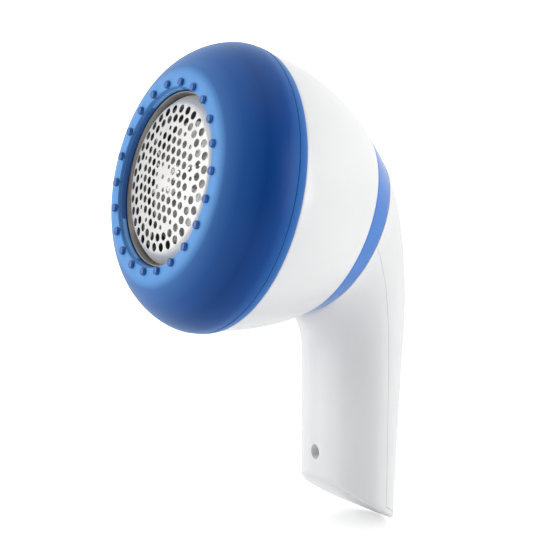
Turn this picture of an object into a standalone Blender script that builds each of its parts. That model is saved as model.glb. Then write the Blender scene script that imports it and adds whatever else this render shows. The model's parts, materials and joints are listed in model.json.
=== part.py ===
"""A hand-held fabric shaver: a round cutting head, tilted up a little, on a slim upright handle.

Metres, +Z up along the handle. The head faces -Y, the object is mirrored about X = 0,
and the origin is under the middle of the object, at the level of the handle's tip.
"""

import math

import bmesh
import bpy
from mathutils import Matrix, Vector

MM = 0.001
GAP = 0.3 * MM

# Where the head is: the middle of the circle of studs, and how far its face leans back.
HEAD_CENTRE = Vector((0.0, -34.75 * MM, 105.8 * MM))
HEAD_TILT = math.radians(13.16)

# Height cap: the turned ring that sets how close the foil comes to the cloth.
STUD_CIRCLE = 27.0 * MM
STUD_COUNT = 22
STUD_RADIUS = 1.2 * MM
STUD_HEIGHT = 1.0 * MM
STUD_ROOT = 1.0 * MM
CAP_WALL = 1.8 * MM
CAP_LIP_RADIUS = 25.4 * MM
CAP_FLAT_RADIUS = 28.2 * MM
CAP_RADIUS = 41.9 * MM
CAP_WIDEST = 16.3 * MM
CAP_REAR_RADIUS = 40.9 * MM
CAP_DEPTH = 21.2 * MM
CAP_FULLNESS = 1.2

# Foil: a domed steel sheet with staggered rows of holes, in a steel frame.
FOIL_RADIUS = 24.1 * MM
FOIL_THICK = 0.4 * MM
FOIL_DOME_RADIUS = 117.0 * MM
FOIL_MARGIN_RADIUS = 20.8 * MM
FOIL_MARGIN_DROP = 2.35 * MM
FOIL_TOP = -0.1 * MM
ROW_COUNT = 32
ROWS = ((19.8, 0.0, 1.25), (17.0, 0.5, 1.2))
LATTICE_PITCH = 3.12
LATTICE_TURN = math.radians(7.7)
LATTICE_RINGS = (3, 4, 7, 9, 12, 13, 16, 19)
HOLE_RADIUS = 1.0
HOLE_SIDES = 6
FRAME_RADIUS = 25.1 * MM
FRAME_TOP = 2.5 * MM
FRAME_BOTTOM = 6.0 * MM
SKIRT_END = 17.0 * MM
SKIRT_WALL = 1.5 * MM

# Drum: the lint container behind the head.
DRUM_FRONT = 12.0 * MM
DRUM_SHOULDER = 21.5 * MM
SPIGOT_RADIUS = 37.8 * MM
WALL = 1.8 * MM
DRUM_TOP_CURVE = ((21.5, 40.6), (37.5, 41.0), (53.3, 29.3), (55.5, 27.4))
DRUM_BOTTOM_CURVE = ((21.5, -40.6), (33.0, -38.9), (41.0, -36.2), (47.3, -32.7))
FLOOR_FRONT = 24.0 * MM
FLOOR_BACK = 26.0 * MM
FLOOR_RADIUS = 35.7 * MM
FLOOR_BORE = 4.4 * MM

# Accent band: the strip between the drum and the handle, as side-view centre, radius and lean.
BAND_FRONT = (49.44, -14.31, 30.35, 21.01)
BAND_REAR = (55.70, -18.23, 25.92, 25.86)

# Handle: side-view curves of its back and of its inner side, from the band down to its tip.
NECK_BACK = ((67.0, 5.1), (70.9, 1.8), (77.6, -13.3), (75.6, -54.0))
NECK_FRONT = ((44.4, -41.55), (44.2, -44.0), (50.4, -48.0), (50.3, -54.0))
NECK_HALF_WIDTHS = (25.9, 21.5, 22.6, 19.8)
GRIP_SECTIONS = ((-64.0, 50.3, 75.1, 19.5), (-74.0, 50.3, 74.6, 19.3), (-84.0, 50.3, 73.9, 19.0),
                 (-95.0, 50.3, 73.2, 18.7), (-112.0, 50.3, 72.1, 18.2))
TIP_LINE = ((46.0, -88.8), (50.3, -92.0), (55.0, -95.8), (60.0, -99.2), (65.0, -102.3), (69.0, -104.4),
            (72.5, -105.8), (78.0, -107.4))
SEAM = ((44.0, -11.0), (54.6, -18.6), (57.6, -23.5), (58.8, -26.8), (60.2, -31.2), (61.3, -37.0),
        (62.4, -45.6), (63.2, -55.0), (63.7, -99.0), (69.0, -102.0), (74.0, -104.0), (80.0, -105.8))

# Drive line, along the head's axis; depths run back from the studs' roots.
BLADE_COUNT = 3
BLADE_OUTER = 20.6 * MM
BLADE_INNER = 4.8 * MM
BLADE_THICK = 0.6 * MM
HUB_FRONT = 7.0 * MM
HUB_BACK = 13.0 * MM
HUB_RADIUS = 17.5 * MM
SPRING_RADIUS = 2.9 * MM
SPRING_FRONT = 13.9 * MM
SPRING_LENGTH = 5.0 * MM
SPRING_TURNS = 3
SPRING_SIDES = 10
SPRING_WIRE = 0.35 * MM
SPINDLE_RADIUS = 1.5 * MM
SHAFT_RADIUS = 1.0 * MM
MOTOR_RADIUS = 11.0 * MM
MOTOR_FRONT = 33.5 * MM
MOTOR_BACK = 58.5 * MM
MOTOR_MIDDLE = 45.0 * MM
MAGNET_OUTER = 9.85 * MM
MAGNET_INNER = 8.6 * MM
MAGNET_LENGTH = 17.0 * MM
ARMATURE_RADIUS = 8.1 * MM
ARMATURE_NOTCH = 3.4 * MM
ARMATURE_LENGTH = 13.0 * MM
SLEEVE_FRONT = 37.0 * MM
SLEEVE_BACK = 54.8 * MM

# Cells, contacts and switch, in side-view places.
CELL_RADIUS = 7.25 * MM
CELL_LENGTH = 49.5 * MM
CELL_OFFSET = 7.6 * MM
CELL_Y = 62.6
CELL_TOP = -28.8
SCREW_Z = -84.3
SCREW_HOLE_RADIUS = 1.9 * MM
SWITCH_Z = -38.0
SWITCH_TRAVEL = 4.0
KNOB_HALF_LENGTH = 8.0

COLOURS = {
    "white_shell": ((0.90, 0.91, 0.92), 0.28, 0.0),
    "blue_cap": ((0.05, 0.20, 0.62), 0.38, 0.0),
    "blue_band": ((0.04, 0.22, 0.70), 0.15, 0.0),
    "steel": ((0.72, 0.72, 0.70), 0.25, 1.0),
    "dark_plastic": ((0.05, 0.05, 0.055), 0.5, 0.0),
    "grey_plastic": ((0.45, 0.47, 0.50), 0.5, 0.0),
    "plated": ((0.80, 0.78, 0.72), 0.3, 1.0),
    "copper": ((0.75, 0.38, 0.20), 0.35, 1.0),
    "magnet": ((0.10, 0.10, 0.11), 0.6, 0.0),
    "cell_sleeve": ((0.12, 0.30, 0.36), 0.35, 0.2),
    "red_wire": ((0.60, 0.03, 0.03), 0.5, 0.0),
    "black_wire": ((0.02, 0.02, 0.02), 0.5, 0.0),
    "brass": ((0.75, 0.58, 0.25), 0.3, 1.0),
}


# ---------------------------------------------------------------- scene and materials

def clear_scene():
    for obj in list(bpy.data.objects):
        bpy.data.objects.remove(obj)


def new_collection(name):
    collection = bpy.data.collections.new(name)
    bpy.context.scene.collection.children.link(collection)
    return collection


def make_material(name):
    colour, roughness, metallic = COLOURS[name]
    material = bpy.data.materials.get(name) or bpy.data.materials.new(name)
    material.use_nodes = True
    shader = material.node_tree.nodes["Principled BSDF"]
    shader.inputs["Base Color"].default_value = (*colour, 1.0)
    shader.inputs["Roughness"].default_value = roughness
    shader.inputs["Metallic"].default_value = metallic
    return material


clear_scene()
PARTS = new_collection("fabric_shaver")
CUTTERS = new_collection("cutters")


def adopt(obj, name, collection, matrix=None):
    """Names an object, puts it in one collection and, if asked, places it."""
    obj.name = name
    for other in list(obj.users_collection):
        other.objects.unlink(obj)
    collection.objects.link(obj)
    if matrix is not None:
        obj.matrix_world = matrix
    if collection is CUTTERS:
        obj.hide_render = True
        obj.display_type = "WIRE"
    return obj


def finish(obj, material, smooth_angle=30.0):
    """Gives a part its own copy of a material, and smooth shading between its sharp edges."""
    own = make_material(material).copy()
    own.name = f"{obj.name}_{material}"
    obj.data.materials.clear()
    obj.data.materials.append(own)
    if obj.type == "MESH":
        obj.data.shade_smooth()
        obj.data.set_sharp_from_angle(angle=math.radians(smooth_angle))
    return obj


# ---------------------------------------------------------------- frames and curves

def head_frame(depth=0.0, turn=0.0):
    """The head's frame: its Z points out of the face, and depth moves it back along that axis."""
    tilt = Matrix.Rotation(math.pi / 2 - HEAD_TILT, 4, "X")
    back = Matrix.Translation((0.0, 0.0, -depth))
    return Matrix.Translation(HEAD_CENTRE) @ tilt @ back @ Matrix.Rotation(turn, 4, "Z")


def side_point(y, z, x=0.0):
    """A point from its side-view place, in millimetres from the middle of the head."""
    return HEAD_CENTRE + Vector((x, y, z)) * MM


def head_point(depth, height, x=0.0):
    """A point from its depth behind the face and its height above the head's axis, in millimetres."""
    return head_frame() @ (Vector((x, height, -depth)) * MM)


def polar(radius, angle):
    return radius * math.cos(angle), radius * math.sin(angle)


def bezier(points, t):
    a, b, c, d = (Vector(p) if hasattr(p, "__len__") else p for p in points)
    u = 1.0 - t
    return a * u ** 3 + b * 3 * u * u * t + c * 3 * u * t * t + d * t ** 3


def steps(count):
    return [i / (count - 1) for i in range(count)]


# ---------------------------------------------------------------- solids

def turned(name, profile, material=None, segments=40, depth=0.0, collection=None, closed=True):
    """A solid turned about the head's axis, from (radius, depth) points that run front to back outside."""
    collection = collection or PARTS
    mesh = bpy.data.meshes.new(name)
    count = len(profile)
    edges = [(i, i + 1) for i in range(count - 1)]
    if closed:
        edges.append((count - 1, 0))
    mesh.from_pydata([(r, 0.0, -s) for r, s in profile], edges, [])
    obj = adopt(bpy.data.objects.new(name, mesh), name, collection, head_frame(depth))
    screw = obj.modifiers.new("turn", "SCREW")
    screw.steps = segments
    screw.render_steps = segments
    screw.use_merge_vertices = True
    screw.merge_threshold = 0.00001
    screw.use_smooth_shade = True
    return to_mesh(obj, material)


def to_mesh(obj, material=None, weld=0.000001):
    """Replaces an object by the mesh that its modifiers or its curve make, with its normals set outwards."""
    graph = bpy.context.evaluated_depsgraph_get()
    mesh = bpy.data.meshes.new_from_object(obj.evaluated_get(graph))
    bm = bmesh.new()
    bm.from_mesh(mesh)
    bmesh.ops.remove_doubles(bm, verts=bm.verts, dist=weld)
    bmesh.ops.recalc_face_normals(bm, faces=bm.faces)
    bm.to_mesh(mesh)
    bm.free()
    name, matrix, collection = obj.name, obj.matrix_world.copy(), obj.users_collection[0]
    bpy.data.objects.remove(obj)
    mesh.name = name
    made = adopt(bpy.data.objects.new(name, mesh), name, collection, matrix)
    return finish(made, material) if material else made


def cylinder(name, radius, front, back, material=None, sides=20, at=(0.0, 0.0), collection=None, turn=0.0):
    """A cylinder along the head's axis between two depths."""
    collection = collection or PARTS
    place = head_frame((front + back) / 2) @ Matrix.Translation((*at, 0.0)) @ Matrix.Rotation(turn, 4, "Z")
    return rod(name, radius, back - front, place, material, sides, collection)


def rod(name, radius, length, matrix, material=None, sides=20, collection=None):
    collection = collection or PARTS
    bpy.ops.mesh.primitive_cylinder_add(vertices=sides, radius=radius, depth=length)
    obj = adopt(bpy.context.object, name, collection, matrix)
    return finish(obj, material) if material else obj


def box(name, low, high, material=None, bevel=0.0, collection=None):
    """A box between two corners, given in side-view millimetres as (x, y, z)."""
    collection = collection or PARTS
    a, b = side_point(low[1], low[2], low[0]), side_point(high[1], high[2], high[0])
    bpy.ops.mesh.primitive_cube_add(size=1.0)
    obj = bpy.context.object
    obj.data.transform(Matrix.Diagonal((*(b - a), 1.0)))
    adopt(obj, name, collection, Matrix.Translation((a + b) / 2))
    if bevel:
        rounding = obj.modifiers.new("rounding", "BEVEL")
        rounding.width = bevel
        rounding.segments = 2
        obj = to_mesh(obj)
    return finish(obj, material) if material else obj


def slab(name, outline, thickness, matrix, material=None, collection=None):
    """A flat outline, in metres, with a thickness about its plane."""
    collection = collection or PARTS
    curve = bpy.data.curves.new(name, "CURVE")
    curve.dimensions = "2D"
    curve.fill_mode = "BOTH"
    curve.extrude = thickness / 2
    line = curve.splines.new("POLY")
    line.points.add(len(outline) - 1)
    for point, (u, v) in zip(line.points, outline):
        point.co = (u, v, 0.0, 1.0)
    line.use_cyclic_u = True
    obj = adopt(bpy.data.objects.new(name, curve), name, collection, matrix)
    bpy.context.view_layer.update()
    return to_mesh(obj, material)


def side_slab(name, outline, width, material=None, collection=None, x=0.0):
    """A slab across the object, from an outline in side-view millimetres."""
    across = Matrix(((0, 0, 1, 0), (1, 0, 0, 0), (0, 1, 0, 0), (0, 0, 0, 1)))
    place = Matrix.Translation(HEAD_CENTRE + Vector((x * MM, 0.0, 0.0))) @ across
    return slab(name, [(y * MM, z * MM) for y, z in outline], width * MM, place, material, collection)


def tube(name, points, radius, material, resolution=1):
    """A wire of round section through side-view points (x, y, z)."""
    curve = bpy.data.curves.new(name, "CURVE")
    curve.dimensions = "3D"
    curve.bevel_depth = radius
    curve.bevel_resolution = resolution
    curve.use_fill_caps = True
    line = curve.splines.new("POLY")
    line.points.add(len(points) - 1)
    for point, (x, y, z) in zip(line.points, points):
        point.co = (*side_point(y, z, x), 1.0)
    obj = adopt(bpy.data.objects.new(name, curve), name, PARTS)
    bpy.context.view_layer.update()
    return to_mesh(obj, material)


def loft(name, sections, material=None, collection=None, ring=False):
    """Skins a row of point loops: capped at both ends or, as a ring, closed from the last to the first."""
    collection = collection or PARTS
    bm = bmesh.new()
    loops = [[bm.verts.new(p) for p in section] for section in sections]
    pairs = list(zip(loops, loops[1:]))
    if ring:
        pairs.append((loops[-1], loops[0]))
    for a, b in pairs:
        for i in range(len(a)):
            j = (i + 1) % len(a)
            bm.faces.new((a[i], a[j], b[j], b[i]))
    if not ring:
        bm.faces.new(loops[0])
        bm.faces.new(loops[-1])
    bmesh.ops.recalc_face_normals(bm, faces=bm.faces)
    mesh = bpy.data.meshes.new(name)
    bm.to_mesh(mesh)
    bm.free()
    obj = adopt(bpy.data.objects.new(name, mesh), name, collection)
    return finish(obj, material) if material else obj


def oval(low, high, half_width, inset=0.0, count=32):
    """An oval loop with one axis from low to high in the mirror plane, and the other along X."""
    middle, half = (low + high) / 2, (high - low) / 2
    half = half * ((half.length - inset) / half.length)
    loop = []
    for i in range(count):
        angle = 2 * math.pi * i / count
        across = Vector(((half_width - inset) * math.sin(angle), 0.0, 0.0))
        loop.append(middle + half * math.cos(angle) + across)
    return loop


def band_circle(place, inset=0.0, shift=0.0, count=32):
    """A circle across the neck, from (y, z, radius, lean) and moved back by shift."""
    y, z, radius, lean = place
    lean = math.radians(lean)
    up = Vector((0.0, math.sin(lean), math.cos(lean))) * radius * MM
    middle = side_point(y, z) + Vector((0.0, math.cos(lean), -math.sin(lean))) * shift
    return oval(middle - up, middle + up, radius * MM, inset, count)


def head_circle(depth, radius, count=32):
    middle = head_frame(depth).translation
    up = (head_frame().to_3x3() @ Vector((0.0, 1.0, 0.0))) * radius
    return oval(middle - up, middle + up, radius, 0.0, count)


def seat(obj, place):
    """Moves an object's origin to a place, without moving its shape."""
    obj.data.transform(place.inverted() @ obj.matrix_world)
    obj.matrix_world = place
    return obj


def combine(target, tool, operation):
    """Cuts or joins two meshes, keeps the result on target and puts the tool away."""
    modifier = target.modifiers.new(operation.lower(), "BOOLEAN")
    modifier.operation = operation
    modifier.solver = "EXACT"
    modifier.object = tool
    bpy.context.view_layer.update()
    graph = bpy.context.evaluated_depsgraph_get()
    mesh = bpy.data.meshes.new_from_object(target.evaluated_get(graph))
    target.modifiers.clear()
    old = target.data
    target.data = mesh
    bpy.data.meshes.remove(old)
    return target


def cut(target, *tools):
    for tool in tools:
        combine(target, tool, "DIFFERENCE")
    return target


def join(target, *tools):
    for tool in tools:
        combine(target, tool, "UNION")
        bpy.data.objects.remove(tool)
    return target


def gather(name, pieces):
    """One cutter made of separate pieces."""
    bm = bmesh.new()
    for piece in pieces:
        piece.data.transform(piece.matrix_world)
        bm.from_mesh(piece.data)
        bpy.data.objects.remove(piece)
    mesh = bpy.data.meshes.new(name)
    bm.to_mesh(mesh)
    bm.free()
    return adopt(bpy.data.objects.new(name, mesh), name, CUTTERS)


# ---------------------------------------------------------------- head: cap, foil, frame, carrier

def cap_profile():
    """The cap's closed outline: lip, flat front, full outer curve, rear edge, then the hollow inside."""
    flat, wide = CAP_FLAT_RADIUS, CAP_RADIUS
    outside, inside = [], []
    for t in steps(7):
        u = t * math.pi / 2
        swell, sink = math.sin(u) ** CAP_FULLNESS, 1.0 - math.cos(u) ** CAP_FULLNESS
        outside.append((flat + (wide - flat) * swell, CAP_WIDEST * sink))
        inner_flat, inner_wide = flat - 0.6 * MM, wide - CAP_WALL
        inner_depth = CAP_WALL + (CAP_WIDEST - CAP_WALL) * sink
        inside.append((inner_flat + (inner_wide - inner_flat) * swell, inner_depth))
    for t in steps(4)[1:]:
        v = t * math.pi / 2
        spread = (wide - CAP_REAR_RADIUS) * math.cos(v)
        outside.append((CAP_REAR_RADIUS + spread, CAP_WIDEST + (CAP_DEPTH - CAP_WIDEST) * math.sin(v)))
    lip = [(CAP_LIP_RADIUS, 5.5 * MM), (CAP_LIP_RADIUS, 0.6 * MM), (CAP_LIP_RADIUS + 0.5 * MM, 0.0)]
    rear = [(SPIGOT_RADIUS + GAP, CAP_DEPTH), (SPIGOT_RADIUS + GAP, CAP_DEPTH - 1.4 * MM)]
    wall = [(CAP_LIP_RADIUS + 1.5 * MM, 5.5 * MM)]
    return lip + outside + rear + inside[::-1][1:] + wall


def make_height_cap():
    cap = turned("height_cap", cap_profile(), segments=STUD_COUNT * 2)
    studs = []
    for i in range(STUD_COUNT):
        angle = 2 * math.pi * i / STUD_COUNT + math.pi / 2
        at = (STUD_CIRCLE * math.cos(angle), STUD_CIRCLE * math.sin(angle))
        studs.append(cylinder(f"stud_{i}", STUD_RADIUS, -STUD_HEIGHT, STUD_ROOT, sides=8, at=at, turn=angle))
    return finish(join(cap, gather("studs", studs)), "blue_cap")


def dome_depth(radius):
    """The depth of the foil's outer face: a shallow sphere that falls away at its margin."""
    depth = FOIL_TOP + radius ** 2 / (2 * FOIL_DOME_RADIUS)
    over = max(0.0, radius - FOIL_MARGIN_RADIUS) / (FOIL_RADIUS - FOIL_MARGIN_RADIUS)
    return depth + FOIL_MARGIN_DROP * over ** 1.3


def foil_holes():
    """Two staggered rows round the edge, and a triangular lattice inside them, as (x, y, radius)."""
    holes = []
    for row_radius, stagger, radius in ROWS:
        for i in range(ROW_COUNT):
            angle = 2 * math.pi * (i + stagger) / ROW_COUNT
            holes.append((row_radius * math.sin(angle), row_radius * math.cos(angle), radius))
    turn = Matrix.Rotation(-LATTICE_TURN, 2)
    reach = range(-4, 5)
    for i in reach:
        for j in reach:
            if i * i + i * j + j * j in LATTICE_RINGS:
                x, y = turn @ Vector((i + j / 2, j * math.sqrt(3) / 2)) * LATTICE_PITCH
                holes.append((x, y, HOLE_RADIUS))
    return holes


def make_foil():
    radii = [0.0, 7.0 * MM, 13.0 * MM, 17.5 * MM, FOIL_MARGIN_RADIUS, 22.4 * MM, FOIL_RADIUS]
    outer = [(r, dome_depth(r)) for r in radii]
    inner = [(r, dome_depth(r) + FOIL_THICK) for r in reversed(radii)]
    foil = turned("foil", outer + inner, segments=32, closed=False)
    holes = []
    for x, y, radius in foil_holes():
        name = f"hole_{len(holes)}"
        at = (x * MM, y * MM)
        hole = cylinder(name, radius * MM, -3 * MM, 6 * MM, sides=HOLE_SIDES, at=at, collection=CUTTERS)
        holes.append(hole)
    cut(foil, gather("foil_holes", holes))
    return finish(foil, "steel")


def make_foil_frame():
    inner = FOIL_RADIUS + 0.35 * MM
    ledge = dome_depth(FOIL_RADIUS) + FOIL_THICK + GAP
    seat_radius = inner - 1.2 * MM
    profile = [(FRAME_RADIUS - 0.3 * MM, FRAME_TOP), (FRAME_RADIUS, FRAME_TOP + 0.2 * MM),
               (FRAME_RADIUS, FRAME_BOTTOM), (seat_radius, FRAME_BOTTOM), (seat_radius, ledge),
               (inner, ledge)]
    return turned("foil_frame", profile, "steel")


def make_foil_carrier():
    """The plastic ring under the foil frame, with a skirt that goes inside the drum's spigot."""
    top = FRAME_BOTTOM + GAP
    rim, skirt = SPIGOT_RADIUS - 0.4 * MM, SPIGOT_RADIUS - WALL - GAP
    back = DRUM_FRONT - GAP
    profile = [(26.4 * MM, top), (26.6 * MM, 8.0 * MM), (33.5 * MM, 10.4 * MM), (rim, DRUM_FRONT - 1.2 * MM),
               (rim, back), (skirt, back), (skirt, SKIRT_END), (skirt - SKIRT_WALL, SKIRT_END),
               (skirt - SKIRT_WALL, 12.6 * MM), (23.3 * MM, 8.0 * MM), (23.3 * MM, top)]
    return turned("foil_carrier", profile, "white_shell")


# ---------------------------------------------------------------- cutter

def make_blade(index):
    """A flat blade on edge under the foil; its top edge follows the dome."""
    reach = steps(6)
    radii = [BLADE_INNER + (BLADE_OUTER - BLADE_INNER) * t for t in reach]
    top = [(r, -(dome_depth(r) + FOIL_THICK + GAP)) for r in radii]
    foot = -(HUB_FRONT - GAP)
    outline = top + [(BLADE_OUTER - 1.5 * MM, foot), (BLADE_INNER, foot)]
    upright = Matrix.Rotation(math.pi / 2, 4, "X")
    turn = 2 * math.pi * index / BLADE_COUNT + 0.3
    return slab(f"blade_{index + 1}", outline, BLADE_THICK, head_frame(0.0, turn) @ upright, "steel")


def make_cutter():
    for i in range(BLADE_COUNT):
        make_blade(i)
    bore = SPINDLE_RADIUS + GAP
    hub = [(4.3 * MM, 3.0 * MM), (4.4 * MM, HUB_FRONT), (HUB_RADIUS, HUB_FRONT), (HUB_RADIUS, 8.6 * MM),
           (4.6 * MM, 9.4 * MM), (4.2 * MM, HUB_BACK), (bore, HUB_BACK), (bore, 3.6 * MM)]
    turned("cutter_hub", hub, "dark_plastic", segments=28)
    spindle = [(0.0, 2.6 * MM), (SPINDLE_RADIUS, 3.0 * MM), (SPINDLE_RADIUS, 27.0 * MM), (0.0, 27.0 * MM)]
    turned("cutter_spindle", spindle, "steel", segments=14, closed=False)
    coil = []
    count = SPRING_TURNS * SPRING_SIDES
    for i in range(count + 1):
        angle = 2 * math.pi * i / SPRING_SIDES
        around = Vector((math.cos(angle), math.sin(angle), 0.0)) * SPRING_RADIUS
        point = head_frame(SPRING_FRONT + SPRING_LENGTH * i / count) @ around
        coil.append(tuple((point - HEAD_CENTRE) / MM))
    seat(tube("cutter_spring", coil, SPRING_WIRE, "plated"), head_frame(SPRING_FRONT))
    washer = [(4.2 * MM, 19.7 * MM), (4.2 * MM, 20.6 * MM), (bore, 20.6 * MM), (bore, 19.7 * MM)]
    turned("spring_washer", washer, "plated", segments=20)
    socket = cylinder("drive_socket", 4.6 * MM, 27.3 * MM, 31.2 * MM, sides=24)
    cut(socket, cylinder("socket_cutter", 3.2 * MM, 28.2 * MM, 32.0 * MM, sides=6, collection=CUTTERS))
    finish(socket, "grey_plastic")


# ---------------------------------------------------------------- drum

def make_drum():
    outer, inner = [], []
    for t in steps(9):
        top, bottom = bezier(DRUM_TOP_CURVE, t), bezier(DRUM_BOTTOM_CURVE, t)
        high, low = head_point(*top), head_point(*bottom)
        radius = (high - low).length / 2
        outer.append(oval(low, high, radius))
        inner.append(oval(low, high, radius, WALL + 0.2 * MM))
    front = [head_circle(DRUM_FRONT, SPIGOT_RADIUS), head_circle(DRUM_SHOULDER, SPIGOT_RADIUS)]
    mouth_radius = SPIGOT_RADIUS - WALL
    mouth = [head_circle(FLOOR_BACK + 1.0 * MM, mouth_radius), head_circle(DRUM_FRONT, mouth_radius)]
    drum = loft("drum", front + outer + inner[:1:-1] + mouth, "white_shell", ring=True)
    seat(drum, head_frame(DRUM_SHOULDER))
    floor = [(FLOOR_RADIUS - 0.2 * MM, FLOOR_FRONT), (FLOOR_RADIUS, FLOOR_BACK), (FLOOR_BORE, FLOOR_BACK),
             (FLOOR_BORE, FLOOR_FRONT)]
    turned("chamber_floor", floor, "grey_plastic", segments=32)
    bore = SPINDLE_RADIUS + 0.2 * MM
    collar, barrel = FLOOR_BORE + 1.0 * MM, FLOOR_BORE - GAP
    front_end, back_end = FLOOR_FRONT - 1.4 * MM, FLOOR_BACK + 0.6 * MM
    bush = [(collar, front_end), (collar, FLOOR_FRONT - GAP), (barrel, FLOOR_FRONT - GAP), (barrel, back_end),
            (bore, back_end), (bore, front_end)]
    turned("spindle_bush", bush, "brass", segments=20)


# ---------------------------------------------------------------- motor

def make_motor():
    wall = 0.8 * MM
    front, back = MOTOR_FRONT, 55.5 * MM
    eye = SHAFT_RADIUS + 0.5 * MM
    can = [(MOTOR_RADIUS - 0.6 * MM, front), (MOTOR_RADIUS, front + 0.6 * MM), (MOTOR_RADIUS, back),
           (MOTOR_RADIUS - wall, back), (MOTOR_RADIUS - wall, front + wall),
           (eye, front + wall), (eye, front)]
    turned("motor_can", can, "plated", segments=28)
    blind = [(0.0, 57.4 * MM), (SHAFT_RADIUS + GAP, 57.4 * MM), (SHAFT_RADIUS + GAP, back + GAP),
             (MOTOR_RADIUS, back + GAP), (MOTOR_RADIUS, MOTOR_BACK), (0.0, MOTOR_BACK)]
    turned("motor_endcap", blind, "dark_plastic", segments=28, closed=False)
    make_magnets()
    make_rotor()
    for side, name in ((-1, "terminal_left"), (1, "terminal_right")):
        place = head_frame(MOTOR_BACK + 1.8 * MM) @ Matrix.Translation((side * 6.5 * MM, 0.0, 0.0))
        bpy.ops.mesh.primitive_cube_add(size=1.0)
        tab = bpy.context.object
        tab.data.transform(Matrix.Diagonal((2.4 * MM, 0.5 * MM, 3.0 * MM, 1.0)))
        finish(adopt(tab, name, PARTS, place), "brass")


def make_magnets():
    for side, name in ((0.0, "magnet_right"), (math.pi, "magnet_left")):
        spread = [math.radians(65) * (2 * t - 1) + side for t in steps(8)]
        outline = [polar(MAGNET_OUTER, a) for a in spread]
        outline += [polar(MAGNET_INNER, a) for a in reversed(spread)]
        slab(name, outline, MAGNET_LENGTH, head_frame(MOTOR_MIDDLE), "magnet")


def make_rotor():
    """What turns in the motor, with the six-sided dog that drives the cutter's socket."""
    outline = []
    for pole in range(3):
        middle = 2 * math.pi * pole / 3 + math.pi / 6
        for t in steps(7):
            a = middle + math.radians(46) * (2 * t - 1)
            outline.append(polar(ARMATURE_RADIUS, a))
        outline.append(polar(ARMATURE_NOTCH, middle + math.pi / 3))
    armature = slab("armature", outline, ARMATURE_LENGTH, head_frame(MOTOR_MIDDLE))
    bore = cylinder("armature_bore", SHAFT_RADIUS + GAP, 36.0 * MM, 54.0 * MM, sides=14, collection=CUTTERS)
    finish(cut(armature, bore), "copper")
    bore_radius = SHAFT_RADIUS + GAP
    ring = [(2.7 * MM, 52.6 * MM), (2.7 * MM, 55.2 * MM), (bore_radius, 55.2 * MM), (bore_radius, 52.6 * MM)]
    turned("commutator", ring, "copper", segments=18)
    cylinder("motor_shaft", SHAFT_RADIUS, 28.8 * MM, 57.1 * MM, "steel", sides=14)
    dog = cylinder("drive_dog", 2.8 * MM, 28.6 * MM, 32.9 * MM, sides=6)
    cut(dog, cylinder("dog_bore", SHAFT_RADIUS + GAP, 27.0 * MM, 34.0 * MM, sides=14, collection=CUTTERS))
    finish(dog, "grey_plastic")


def make_motor_mount():
    """The bulkhead across the neck, with the sleeve that grips the motor."""
    sleeve, grip = MOTOR_RADIUS + 1.9 * MM, MOTOR_RADIUS + GAP
    edge = WALL + 0.2 * MM + 2 * GAP
    sections = [band_circle(BAND_FRONT, edge + 0.5 * MM, 1.0 * MM),
                band_circle(BAND_FRONT, edge + 2.2 * MM, 3.0 * MM),
                head_circle(SLEEVE_BACK, sleeve), head_circle(SLEEVE_BACK, grip),
                head_circle(SLEEVE_FRONT, grip), head_circle(SLEEVE_FRONT, sleeve),
                head_circle(51.5 * MM, sleeve)]
    loft("motor_mount", sections, "white_shell", ring=True)


# ---------------------------------------------------------------- neck and handle

def make_band():
    inset = WALL + 0.2 * MM
    sections = [band_circle(BAND_FRONT, 0.0, GAP), band_circle(BAND_REAR), band_circle(BAND_REAR, inset),
                band_circle(BAND_FRONT, inset, GAP)]
    loft("accent_band", sections, "blue_band", ring=True)


def handle_sections(inset, count=32):
    """The loops down the neck and the grip, moved in by inset."""
    loops = []
    for t in steps(8):
        low, high = side_point(*bezier(NECK_FRONT, t)), side_point(*bezier(NECK_BACK, t))
        loops.append(oval(low, high, bezier(NECK_HALF_WIDTHS, t) * MM, inset, count))
    for z, front, back, half_width in GRIP_SECTIONS:
        loops.append(oval(side_point(front, z), side_point(back, z), half_width * MM, inset, count))
    return loops


def handle_solid(name, inset, forward, tip_shift):
    """The whole handle as one solid; forward moves its start towards the head."""
    loops = handle_sections(inset)
    start = band_circle(BAND_REAR, inset, GAP)
    if forward:
        loops = [band_circle(BAND_REAR, inset, -forward)] + loops
    loops[1 if forward else 0] = start
    solid = loft(name, loops, collection=CUTTERS)
    lifted = [(y, z + tip_shift) for y, z in TIP_LINE]
    tip = side_slab(f"{name}_tip", lifted + [(78.0, -130.0), (46.0, -130.0)], 60.0, collection=CUTTERS)
    return cut(solid, tip)


def seam_slab(name, shift):
    """The region in front of the seam, with its rear edge moved back by shift."""
    edge = [(y + shift, z + shift * 0.5) for y, z in SEAM]
    rest = [(80.0, -125.0), (20.0, -125.0), (20.0, edge[0][1])]
    return side_slab(name, edge + rest, 80.0, collection=CUTTERS)


def make_shells():
    outer = handle_solid("handle_outer", 0.0, 0.0, 0.0)
    inner = handle_solid("handle_inner", WALL, 6.0 * MM, 2.0)
    cut(outer, inner)
    rear = adopt(outer.copy(), "rear_cover", PARTS)
    rear.data = outer.data.copy()
    rear.hide_render = False
    rear.display_type = "TEXTURED"
    front = adopt(outer.copy(), "front_shell", PARTS)
    front.data = outer.data.copy()
    front.hide_render = False
    front.display_type = "TEXTURED"
    combine(front, seam_slab("seam_front", -0.15), "INTERSECT")
    cut(rear, seam_slab("seam_rear", 0.15))
    return front, rear


def across(y, z, x=0.0):
    """A frame at a side-view place whose Z runs back along Y."""
    return Matrix.Translation(side_point(y, z, x)) @ Matrix.Rotation(-math.pi / 2, 4, "X")


def post(name, radius, front, back, sides=16, collection=None, z=SCREW_Z):
    """A round post along Y between two side-view places."""
    return rod(name, radius, (back - front) * MM, across((front + back) / 2, z), None, sides, collection)


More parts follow.
